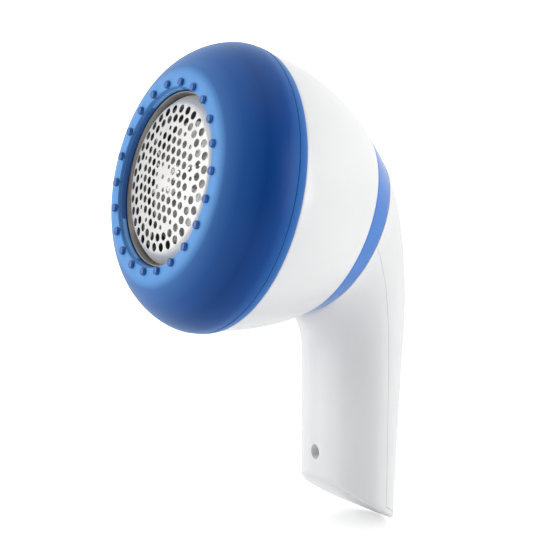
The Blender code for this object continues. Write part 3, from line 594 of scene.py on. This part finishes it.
def cap_outline():
    """The cap's closed outline, from its lip over the full curve to the rear edge and back inside."""
    flat, wide, lip_radius, lip_end = CAP_FLAT_RADIUS, CAP_RADIUS, CAP_LIP_RADIUS, CAP_LIP_DEPTH
    inner_flat, inner_wide = flat - 0.6, wide - CAP_WALL
    outside, inside = [], []
    for t in steps(49):
        u = t * math.pi / 2
        swell, sink = math.sin(u) ** CAP_FULLNESS, 1.0 - math.cos(u) ** CAP_FULLNESS
        outside.append((mix((flat, wide), swell), CAP_WIDEST * sink))
        inside.append((mix((inner_flat, inner_wide), swell), mix((CAP_WALL, CAP_WIDEST), sink)))
    rear = CAP_DEPTH - CAP_WIDEST
    for i, t in enumerate(steps(25)[1:], 1):
        v = t * math.pi / 2 * CAP_REAR_TURN
        spread = (wide - CAP_REAR_RADIUS) * math.cos(v)
        groove = CAP_GROOVE if i == CAP_GROOVE_STEP else 0.0
        outside.append((CAP_REAR_RADIUS + spread - groove, CAP_WIDEST + rear * math.sin(v)))
    edge = rounded([(CAP_REAR_RADIUS, CAP_DEPTH, 0.3), (SPIGOT_RADIUS + GAP, CAP_DEPTH, 0.15),
                    (SPIGOT_RADIUS + GAP, CAP_DEPTH - 1.4, 0.1)], 4)
    lip = rounded([(lip_radius, lip_end, 0.0), (lip_radius, 0.95, 0.06), (lip_radius + 0.42, 0.8, 0.06),
                   (lip_radius + 0.5, 0.0, 0.22), (flat - 0.4, 0.0, 0.0)], 4)
    closing = [(lip_radius + 1.5, lip_end), (lip_radius, lip_end)]
    return lip[1:-1] + outside + edge[2:] + inside[::-1][1:] + closing


def make_cap():
    cap = turned("cap_skin", cap_outline())
    place(cap, "height_cap", "blue", "blue_cap", "height_cap")
    root, face = CAP_LIP_RADIUS + 0.2, CAP_LIP_RADIUS - CLIP_RISE
    clip = rounded([(root, CLIP_FRONT, 0.0), (face, CLIP_FRONT, 0.1), (face, CLIP_BACK, 0.1),
                    (root, CLIP_BACK, 0.0)], 4)
    # The clips take a paler blue, painted light on the cap's inner wall.
    for i in range(CLIP_COUNT):
        start = math.radians(CLIP_START + 360 / CLIP_COUNT * i)
        piece = turned(f"cap_clip_{i + 1}", clip, 24, start=start, sweep=math.radians(CLIP_SWEEP))
        place(piece, "height_cap", "clip", "blue_cap")
    stud = rounded([(0.0, 0.4, 0.0), (0.0, -STUD_HEIGHT, 0.0), (STUD_RADIUS, -STUD_HEIGHT, STUD_ROUNDING),
                    (STUD_RADIUS, 0.4, 0.0)], 6)
    studs = []
    for i in range(STUD_COUNT):
        angle = 2 * math.pi * i / STUD_COUNT + math.pi / 2
        at = Matrix.Translation(Vector((math.cos(angle), math.sin(angle), 0.0)) * STUD_CIRCLE * MM)
        studs.append(turned(f"stud_{i}", stud, 20, matrix=HEAD @ at))
    place(gather("cap_studs", studs), "height_cap", "stud", "blue_cap")


def dome_depth(radius):
    """The foil's depth behind the stud face: a shallow dome with a margin that rolls back."""
    depth = FOIL_TOP + radius ** 2 / (2 * FOIL_DOME_RADIUS)
    over = max(0.0, radius - FOIL_MARGIN_RADIUS) / (FOIL_RADIUS - FOIL_MARGIN_RADIUS)
    return depth + FOIL_MARGIN_DROP * over ** FOIL_MARGIN_ROLL


def foil_holes():
    """Two staggered outer rows and, inside them, a triangular lattice with small middle and corner holes."""
    holes = []
    for radius, stagger, size in ROWS:
        for i in range(ROW_COUNT):
            angle = 2 * math.pi * (i + stagger) / ROW_COUNT
            holes.append((radius * math.sin(angle), radius * math.cos(angle), size))
    for i in range(-5, 6):
        for j in range(-5, 6):
            x, y = LATTICE_PITCH * (i + j / 2), LATTICE_PITCH * j * math.sqrt(3) / 2
            radius, angle = math.hypot(x, y), math.atan2(x, y) + LATTICE_TURN
            ring = round((radius / LATTICE_PITCH) ** 2)
            if ring > LAST_RING:
                continue
            size = SMALL_HOLE_RADIUS if ring in (0, 1, LAST_RING) else HOLE_RADIUS
            if ring == 1:
                radius += FIRST_RING_SHIFT
            holes.append((radius * math.sin(angle), radius * math.cos(angle), size))
    return holes


def make_foil():
    radii = [0.8 * i for i in range(27)] + [21.6, 22.2, 22.8, 23.4, 23.8, FOIL_RADIUS]
    outline = [(r, dome_depth(r)) for r in radii] + [(r, dome_depth(r) + FOIL_THICK) for r in reversed(radii)]
    foil = turned("foil_sheet", outline, 128)
    cutters = []
    for i, (x, y, size) in enumerate(foil_holes()):
        low, high = HEAD @ (Vector((x, y, -5.0)) * MM), HEAD @ (Vector((x, y, 2.0)) * MM)
        cutters.append(rod(f"hole_{i}", size, low, high, 16))
    combine(foil, gather("holes", cutters), "DIFFERENCE")
    place(foil, "foil_head", "foil", "steel", "foil")
    ledge = dome_depth(FOIL_RADIUS) + FOIL_THICK + 0.1
    inner = FOIL_RADIUS + 0.2
    bore = inner - 1.2
    ring = rounded([(inner + 0.3, FRAME_TOP, 0.2), (FRAME_RADIUS, FRAME_TOP, 0.15),
                    (FRAME_RADIUS, FRAME_BOTTOM, 0.2), (bore, FRAME_BOTTOM, 0.2), (bore, ledge, 0.1),
                    (inner, ledge, 0.0)], 4)
    place(turned("foil_frame_ring", ring), "foil_head", "frame", "steel", "foil_frame")
    top = FRAME_BOTTOM + GAP
    rim = SPIGOT_RADIUS - 0.4
    skirt = SPIGOT_RADIUS - WALL - GAP
    inside = skirt - CARRIER_WALL
    seat = DRUM_FRONT - GAP
    bore = CARRIER_BORE
    carrier = rounded([(bore + 3.1, top, 0.2), (bore + 3.3, CARRIER_STEP, 0.4), (33.5, 10.4, 1.0),
                       (rim, DRUM_FRONT - 1.2, 0.4), (rim, seat, 0.2), (skirt, seat, 0.1),
                       (skirt, SKIRT_END, 0.4), (inside, SKIRT_END, 0.3), (inside, 12.6, 0.6),
                       (bore, CARRIER_STEP, 0.6), (bore, top, 0.2)], 4)
    place(turned("foil_carrier_ring", carrier), "foil_head", "white", "white_shell", "foil_carrier")


# ---------------------------------------------------------------- drum and band

def make_drum():
    outer, inner = [], []
    for t in steps(41):
        high, low = head_point(*bezier(DRUM_TOP_CURVE, t)), head_point(*bezier(DRUM_BOTTOM_CURVE, t))
        radius = (high - low).length / 2 / MM
        outer.append(oval(low, high, radius))
        inner.append(oval(low, high, radius, WALL + 0.2))
    radius = DRUM_TOP_CURVE[0][1]
    soft, spigot, bore = 0.3, SPIGOT_RADIUS, SPIGOT_RADIUS - WALL
    shoulder = [head_circle(DRUM_FRONT + soft, spigot - soft), head_circle(DRUM_FRONT + soft, spigot),
                head_circle(DRUM_SHOULDER, spigot), head_circle(DRUM_SHOULDER, radius - 0.4),
                head_circle(DRUM_SHOULDER + 0.1, radius - 0.12)]
    outer[0] = head_circle(DRUM_SHOULDER + 0.4, radius)
    mouth = [head_circle(MOUTH_BACK, bore), head_circle(DRUM_FRONT, bore),
             head_circle(DRUM_FRONT, spigot - soft)]
    drum = skin("drum_skin", shoulder + outer + inner[:9:-1] + mouth, ring=True)
    place(drum, "drum", "white", "white_shell", "drum")


def band_at(t):
    return tuple(mix(pair, t) for pair in zip(BAND_FRONT, BAND_REAR))


def make_band():
    inset = WALL + 0.2
    loops = []
    for t in steps(9):
        edge = 0.1 if t in (0.0, 1.0) else 0.0
        loops.append(band_circle(band_at(t), edge, FINE_GAP * (1 - t)))
    loops.insert(1, band_circle(band_at(0.03), 0.0, FINE_GAP))
    loops.insert(-1, band_circle(band_at(0.97)))
    loops += [band_circle(BAND_REAR, inset), band_circle(BAND_FRONT, inset, FINE_GAP)]
    place(skin("band_skin", loops, ring=True), "handle", "band", "blue_band", "accent_band")


# ---------------------------------------------------------------- handle

def tip_height(y):
    """The height of the handle's oblique end at a side-view place."""
    t = min(steps(61), key=lambda t: abs(bezier(TIP_LINE, t)[0] - y))
    nudge = 0.001
    for _ in range(3):
        here = bezier(TIP_LINE, t)[0]
        slope = (bezier(TIP_LINE, t + nudge)[0] - here) / nudge
        t += (y - here) / slope
    return bezier(TIP_LINE, t)[1]


def grip_loop(z, inset=0.0):
    t = (z - GRIP_TOP) / (GRIP_END - GRIP_TOP)
    return oval(side_point(GRIP_FRONT, z), side_point(mix(GRIP_BACK, t), z), mix(GRIP_HALF_WIDTHS, t), inset)


def to_tip(loop, lift, scale=1.0):
    """Drops a loop of the grip onto the oblique end, lifted off it and drawn in towards its middle."""
    middle = sum(loop, Vector()) / len(loop)
    moved = []
    for p in loop:
        q = middle + (p - middle) * scale
        q.z = CENTRE.z + (tip_height((q.y - CENTRE.y) / MM) + lift) * MM
        moved.append(q)
    return moved


def handle_loops(inset, lift):
    """All the loops of the handle, from the band to the middle of its oblique end."""
    loops = []
    for t in steps(33):
        low, high = side_point(*bezier(NECK_FRONT, t)), side_point(*bezier(NECK_BACK, t))
        loops.append(oval(low, high, bezier(NECK_HALF_WIDTHS, t), inset))
    for i in range(1, 9):
        loops.append(grip_loop(GRIP_TOP - GRIP_STEP * i, inset))
    above = loops[-1]
    end = grip_loop(TIP_SECTION, inset)
    final = to_tip(end, lift + TIP_ROUNDING)
    for t in steps(9)[1:]:
        loops.append([a.lerp(b, t) for a, b in zip(above, final)])
    reach = (final[0] - final[AROUND // 2]).length / 2 / MM
    for t in steps(6)[1:]:
        turn = t * math.pi / 2
        pull = TIP_ROUNDING * (1 - math.cos(turn))
        loops.append(to_tip(end, lift + TIP_ROUNDING * (1 - math.sin(turn)), 1 - pull / reach))
    last = 1 - TIP_ROUNDING / reach
    for k in (0.8, 0.6, 0.4, 0.2):
        loops.append(to_tip(end, lift, last * k))
    return loops


def seam_region(name, shift):
    """Everything in front of the seam, with the seam shifted backwards."""
    edge = [(y + shift, z + shift * 0.5) for y, z in SEAM]
    below, ahead = -125.0, 20.0
    return prism(name, edge + [(SEAM[-1][0], below), (ahead, below), (ahead, edge[0][1])], 80.0)


def bar(name, radius, front, back, sides=40, taper=0.0):
    """A round bar along the screw's axis."""
    return rod(name, radius, side_point(front, SCREW_Z), side_point(back, SCREW_Z), sides, taper)


def make_handle():
    edge = [band_circle(BAND_REAR, 0.1, FINE_GAP), band_circle(BAND_REAR, 0.0, FINE_GAP + 0.1)]
    outer = skin("handle_outer", edge + handle_loops(0.0, 0.0)[3:])
    mouth = [band_circle(BAND_REAR, WALL, -6.0), band_circle(BAND_REAR, WALL, GAP)]
    inner = skin("handle_inner", mouth + handle_loops(WALL, END_WALL)[3:])
    combine(outer, inner, "DIFFERENCE")
    rear = outer.copy()
    rear.data = outer.data.copy()
    rear.name = "rear_cover_skin"
    bpy.context.scene.collection.objects.link(rear)
    front = outer
    front.name = "front_shell_skin"
    combine(front, seam_region("seam_front", -SEAM_GAP / 2), "INTERSECT")
    combine(rear, seam_region("seam_rear", SEAM_GAP / 2), "DIFFERENCE")
    combine(front, bar("front_post", POST_RADIUS, 51.2, POST_MEETING - 0.2), "UNION")
    combine(front, bar("screw_recess", RECESS_RADIUS, 40.0, RECESS_END), "DIFFERENCE")
    combine(front, bar("countersink", POST_RADIUS, 49.6, 51.0, taper=POST_RADIUS - RECESS_RADIUS), "DIFFERENCE")
    combine(front, bar("screw_way", SCREW_BORE, 50.0, 65.0, 24), "DIFFERENCE")
    combine(rear, bar("rear_post", POST_RADIUS, POST_MEETING + 0.2, 73.0), "UNION")
    combine(rear, bar("screw_thread", SCREW_BORE, 60.0, THREAD_END, 24), "DIFFERENCE")
    middle, half_travel = SWITCH_Z + SWITCH_TRAVEL / 2, SWITCH_TRAVEL / 2
    pocket = pad("pocket", 0.0, middle, 4.9, 8.6 + half_travel, OUTSIDE, POCKET_FLOOR, 1.6)
    combine(rear, pocket, "DIFFERENCE")
    window = pad("window", 0.0, middle, 1.8, 3.0 + half_travel, OUTSIDE, 70.0, 0.5)
    combine(rear, window, "DIFFERENCE")
    place(front, "handle", "white", "white_shell", "front_shell")
    place(rear, "rear_cover", "white", "white_shell", "rear_cover")


def make_knob():
    knob = pad("knob_skin", 0.0, SWITCH_Z, 4.4, 8.0, 76.9, POCKET_FLOOR + GAP, 1.4, 0.5)
    grooves = []
    for i in range(GROOVE_COUNT):
        z = SWITCH_Z + GROOVE_PITCH * (i - (GROOVE_COUNT - 1) / 2)
        grooves.append(pad(f"groove_{i}", 0.0, z, 3.3, 0.42, 78.0, 76.45, 0.3))
    combine(knob, gather("grooves", grooves), "DIFFERENCE")
    for side in (-1, 1):
        combine(knob, pad(f"fork_{side + 1}", 0.0, SWITCH_Z + side * 1.9, 1.4, 0.6, 75.5, 72.9, 0.2), "UNION")
    place(knob, "switch_knob", "white", "white_shell", "switch_knob")


# ---------------------------------------------------------------- inside

def head_plate(name, outline, front, back, turn):
    """A flat piece square to the head's axis, from an outline in millimetres, between two depths."""
    plate = skin(name, [[Vector((x, y, -depth)) * MM for x, y in outline] for depth in (front, back)])
    plate.matrix_world = HEAD @ Matrix.Rotation(turn, 4, "Z")
    return plate


def make_cutter():
    disc, bore = HUB_DISC_DEPTH, HUB_BORE
    hub = rounded([(4.3, 3.0, 0.3), (4.4, disc, 0.5), (HUB_RADIUS, disc, 0.3), (HUB_RADIUS, disc + 1.6, 0.3),
                   (4.6, 9.4, 0.8), (4.2, HUB_END, 0.3), (bore, HUB_END, 0.1), (bore, 3.6, 0.2)], 5)
    place(turned("cutter_hub_skin", hub), "cutter", "satin", "dark_plastic", "cutter_hub")
    near, far = 6.0, HUB_RADIUS - 0.9
    half = FIN_WIDTH / 2
    fin = rounded([(near, -half, 0.2), (far, -half, 0.4), (far, half, 0.4), (near, half, 0.2)], 4)
    fins = []
    for i in range(FIN_PLACES):
        if i % (FIN_PLACES // BLADE_COUNT):
            turn = FIN_TURN + 2 * math.pi * i / FIN_PLACES
            fins.append(head_plate(f"fin_{i}", fin, 5.7, disc + 0.05, turn))
    place(gather("cutter_fins", fins), "cutter", "satin", "dark_plastic")
    coil = []
    for t in steps(121):
        angle = 2 * math.pi * CUTTER_SPRING_TURNS * t
        across, up = CUTTER_SPRING_RADIUS * math.cos(angle), CUTTER_SPRING_RADIUS * math.sin(angle)
        coil.append(head_point(mix(CUTTER_SPRING_ENDS, t), up, across))
    place(wire("cutter_coil", coil, SPRING_WIRE), "cutter", "plated", "plated", "cutter_spring")


def wire(name, points, radius):
    """A round wire through points in metres."""
    curve = bpy.data.curves.new(name, "CURVE")
    curve.dimensions = "3D"
    curve.bevel_depth = radius * MM
    curve.bevel_resolution = 3
    curve.use_fill_caps = True
    line = curve.splines.new("POLY")
    line.points.add(len(points) - 1)
    for point, at in zip(line.points, points):
        point.co = (*at, 1.0)
    obj = bpy.data.objects.new(name, curve)
    bpy.context.scene.collection.objects.link(obj)
    bpy.context.view_layer.update()
    mesh = bpy.data.meshes.new_from_object(obj.evaluated_get(bpy.context.evaluated_depsgraph_get()))
    bpy.data.objects.remove(obj)
    made = bpy.data.objects.new(name, mesh)
    bpy.context.scene.collection.objects.link(made)
    return smooth(made, 50.0)


def make_chamber():
    front, back, hole = FLOOR_FRONT, FLOOR_BACK, FLOOR_HOLE
    floor = rounded([(35.3, front, 0.4), (35.7, back, 0.2), (hole, back, 0.2), (hole, front, 0.4)], 5)
    place(turned("chamber_floor_skin", floor), "drum", "grey", "grey_plastic", "chamber_floor")
    face, flange, end = BUSH_FRONT, FLOOR_FRONT - GAP, FLOOR_BACK + 0.6
    outer, bore = FLOOR_HOLE - GAP, BUSH_BORE
    bush = rounded([(5.4, face, 0.3), (5.4, flange, 0.1), (outer, flange, 0.1), (outer, end, 0.2),
                    (bore, end, 0.1), (bore, face, 0.2)], 4)
    place(turned("spindle_bush_skin", bush, 64), "drum", "brass", "brass", "spindle_bush")


def make_motor():
    radius, front, back = MOTOR_RADIUS, MOTOR_FRONT, MOTOR_BACK
    inner, hole = radius - CAN_WALL, 1.5
    can = rounded([(radius, front, 0.7), (radius, back, 0.1), (inner, back, 0.1),
                   (inner, front + CAN_WALL, 0.4), (hole, front + CAN_WALL, 0.1), (hole, front, 0.1)], 6)
    place(turned("motor_can_skin", can, 128), "handle", "plated", "plated", "motor_can")
    pit, pit_end, face, end = 1.3, 57.4, back + GAP, 58.5
    blind = rounded([(0.0, pit_end, 0.0), (pit, pit_end, 0.0), (pit, face, 0.1), (radius, face, 0.15),
                     (radius, end, 0.5), (0.0, end, 0.0)], 5)
    place(turned("motor_endcap_skin", blind, 128), "handle", "black", "dark_plastic", "motor_endcap")
    sleeve, grip, front, back = SLEEVE_RADIUS, MOTOR_RADIUS + GAP, SLEEVE_FRONT, SLEEVE_BACK
    edge = WALL + 0.2 + 2 * GAP
    sections = [band_circle(BAND_FRONT, edge + 0.7, 1.0), band_circle(BAND_FRONT, edge + 0.5, 1.2),
                band_circle(BAND_FRONT, edge + 2.2, 3.0), head_circle(back, sleeve), head_circle(back, grip),
                head_circle(front, grip), head_circle(front, sleeve - 0.3), head_circle(front + 0.3, sleeve),
                head_circle(51.5, sleeve)]
    place(skin("motor_mount_skin", sections, ring=True), "handle", "white", "white_shell", "motor_mount")


def make_cells():
    half, radius, button, button_end = CELL_HALF_LENGTH, CELL_RADIUS, 2.7, CELL_HALF_LENGTH + 1.2
    outline = rounded([(0.0, half, 0.0), (radius, half, 0.7), (radius, -half, 0.7), (button, -half, 0.1),
                       (button, -button_end, 0.4), (0.0, -button_end, 0.0)], 6)
    cells = (("battery_right", CELL_X, -28.8, 0.0), ("battery_left", -CELL_X, -29.9, math.pi))
    for name, x, top, turn in cells:
        middle = Matrix.Translation(side_point(CELL_Y, top - half, x)) @ Matrix.Rotation(turn, 4, "X")
        cell = turned(name.replace("battery", "cell") + "_skin", outline, AROUND, matrix=middle)
        place(cell, "handle", "sleeve", "cell_sleeve", name)
    bridge = battery_coil("bridge_coil", CELL_X, -79.0, -80.2)
    place(bridge, "handle", "plated", "plated", "spring_bridge")
    minus = battery_coil("minus_coil", -CELL_X, -29.2, -28.0)
    place(minus, "handle", "plated", "plated", "spring_minus")


def battery_coil(name, x, top, bottom):
    """A conical spring of two turns under or over a cell."""
    points = []
    for t in steps(61):
        angle = 4 * math.pi * t
        radius = mix(CELL_SPRING_RADII, t)
        height = mix((bottom, top), t)
        points.append(side_point(CELL_Y + radius * math.sin(angle), height, x + radius * math.cos(angle)))
    return wire(name, points, SPRING_WIRE)


def smooth_route(points):
    """A smooth curve through (x, y, z) points in side-view millimetres, with 12 steps between each pair."""
    route = []
    padded = [Vector(p) for p in (points[0], *points, points[-1])]
    for a, b, c, d in zip(padded, padded[1:], padded[2:], padded[3:]):
        for t in steps(13)[:-1]:
            bend = (2 * a - 5 * b + 4 * c - d) * t ** 2 + (3 * b - a - 3 * c + d) * t ** 3
            route.append(0.5 * (2 * b + (c - a) * t + bend))
    return [side_point(p.y, p.z, p.x) for p in route + [padded[-1]]]


WIRES = {
    "wire_red": ((7.6, 68.8, -23.0), (8.0, 70.6, -22.6), (6.6, 71.6, -26.0), (4.8, 71.6, -29.6)),
    "wire_black": ((-7.6, 68.8, -23.0), (-8.4, 68.6, -19.4), (-7.6, 65.2, -16.0), (-6.6, 60.7, -14.3)),
    "wire_link": ((-3.2, 71.6, -29.6), (-2.0, 71.4, -22.0), (4.0, 68.6, -16.4), (6.6, 60.9, -14.3)),
}


def make_wires():
    for node, route in WIRES.items():
        finish = "black_wire" if node == "wire_black" else "red_wire"
        place(wire(f"{node}_run", smooth_route(route), WIRE_RADIUS), "handle", finish, finish, node)


# ---------------------------------------------------------------- CAD nodes that stay

FINISHES = {
    "blade": ("blade_1", "blade_2", "blade_3", "cutter_spindle", "motor_shaft"),
    "plated": ("spring_washer", "contact_plus", "contact_minus", "contact_bridge", "cover_screw"),
    "brass": ("terminal_left", "terminal_right"),
    "copper": ("armature", "commutator"),
    "black": ("switch_body", "battery_tray"),
    "grey": ("drive_socket", "drive_dog", "switch_lever"),
    "magnet": ("magnet_left", "magnet_right"),
}


def finish_nodes():
    for material, nodes in FINISHES.items():
        for name in nodes:
            for slot in frame["nodes"][name].material_slots:
                slot.material = MATERIALS[material]


# ---------------------------------------------------------------- studio

def make_floor():
    """A pale floor that keeps its soft shadow near the object and is plain white far from it."""
    bm = bmesh.new()
    bmesh.ops.create_grid(bm, x_segments=8, y_segments=8, size=20.0)
    floor = new_object("floor", bm)
    material, tree, shader, add = node_tools("floor_white")
    shader.inputs["Base Color"].default_value = (0.85, 0.85, 0.85, 1.0)
    shader.inputs["Roughness"].default_value = 0.18
    shader.inputs["Specular IOR Level"].default_value = 0.35
    shader.inputs["Emission Color"].default_value = (1.0, 1.0, 1.0, 1.0)
    coordinates = add("ShaderNodeTexCoord")
    distance = add("ShaderNodeVectorMath", operation="LENGTH")
    tree.links.new(coordinates.outputs["Object"], distance.inputs[0])
    near_far = ranged(tree, add, distance.outputs["Value"], 0.38, 1.0)
    near_far.node.inputs["From Min"].default_value = 0.15
    near_far.node.inputs["From Max"].default_value = 0.6
    path = add("ShaderNodeLightPath")
    seen = add("ShaderNodeMath", operation="MULTIPLY")
    tree.links.new(path.outputs["Is Camera Ray"], seen.inputs[0])
    tree.links.new(near_far, seen.inputs[1])
    glow = add("ShaderNodeMath", operation="MAXIMUM")
    glow.inputs[1].default_value = 0.05
    tree.links.new(seen.outputs["Value"], glow.inputs[0])
    tree.links.new(glow.outputs["Value"], shader.inputs["Emission Strength"])
    floor.data.materials.append(material)


def make_world(toward_camera):
    """A white room that is dimmer on the camera's side, so that the turned faces shade off softly."""
    world = bpy.data.worlds.new("studio")
    bpy.context.scene.world = world
    world.use_nodes = True
    tree = world.node_tree
    background = tree.nodes["Background"]
    background.inputs["Color"].default_value = (1.0, 1.0, 1.0, 1.0)
    coordinates = tree.nodes.new("ShaderNodeTexCoord")
    dot = tree.nodes.new("ShaderNodeVectorMath")
    dot.operation = "DOT_PRODUCT"
    dot.inputs[1].default_value = toward_camera
    ramp = tree.nodes.new("ShaderNodeMapRange")
    ramp.interpolation_type = "SMOOTHSTEP"
    ramp.inputs["From Min"].default_value = 0.1
    ramp.inputs["From Max"].default_value = 0.9
    ramp.inputs["To Min"].default_value = 1.0
    ramp.inputs["To Max"].default_value = 0.1
    path = tree.nodes.new("ShaderNodeLightPath")
    seen = tree.nodes.new("ShaderNodeMath")
    seen.operation = "MAXIMUM"
    tree.links.new(coordinates.outputs["Generated"], dot.inputs[0])
    tree.links.new(dot.outputs["Value"], ramp.inputs["Value"])
    tree.links.new(ramp.outputs["Result"], seen.inputs[0])
    tree.links.new(path.outputs["Is Camera Ray"], seen.inputs[1])
    tree.links.new(seen.outputs["Value"], background.inputs["Strength"])


def area_light(name, place_at, target, size, power):
    data = bpy.data.lights.new(name, "AREA")
    data.shape = "RECTANGLE"
    data.size, data.size_y = size
    data.energy = power
    light = bpy.data.objects.new(name, data)
    bpy.context.scene.collection.objects.link(light)
    light.location = place_at
    light.visible_camera = False
    light.rotation_euler = (target - place_at).to_track_quat("-Z", "Y").to_euler()


def make_studio():
    right = Vector((math.cos(AZIMUTH), math.sin(AZIMUTH), 0.0))
    level = Vector((-math.sin(AZIMUTH), math.cos(AZIMUTH), 0.0)) * math.cos(ELEVATION)
    forward = level - Vector((0.0, 0.0, math.sin(ELEVATION)))
    up = right.cross(forward)
    aim = CENTRE + (right * AIM_RIGHT + up * AIM_UP) * MM
    data = bpy.data.cameras.new("camera")
    data.lens = LENS
    data.sensor_width = 36.0
    data.clip_start = 0.01
    data.clip_end = 50.0
    camera = bpy.data.objects.new("camera", data)
    bpy.context.scene.collection.objects.link(camera)
    turn = Matrix((right, up, -forward)).transposed().to_4x4()
    camera.matrix_world = Matrix.Translation(aim - forward * DISTANCE * MM) @ turn
    bpy.context.scene.camera = camera
    make_world(-forward)
    for name, (offset, size, power) in LIGHTS.items():
        area_light(name, CENTRE + Vector(offset), CENTRE, size, power)
    bpy.context.scene.view_settings.view_transform = "Standard"


make_cap()
make_foil()
make_drum()
make_band()
make_handle()
make_knob()
make_cutter()
make_chamber()
make_motor()
make_cells()
make_wires()
finish_nodes()
make_floor()
make_studio()
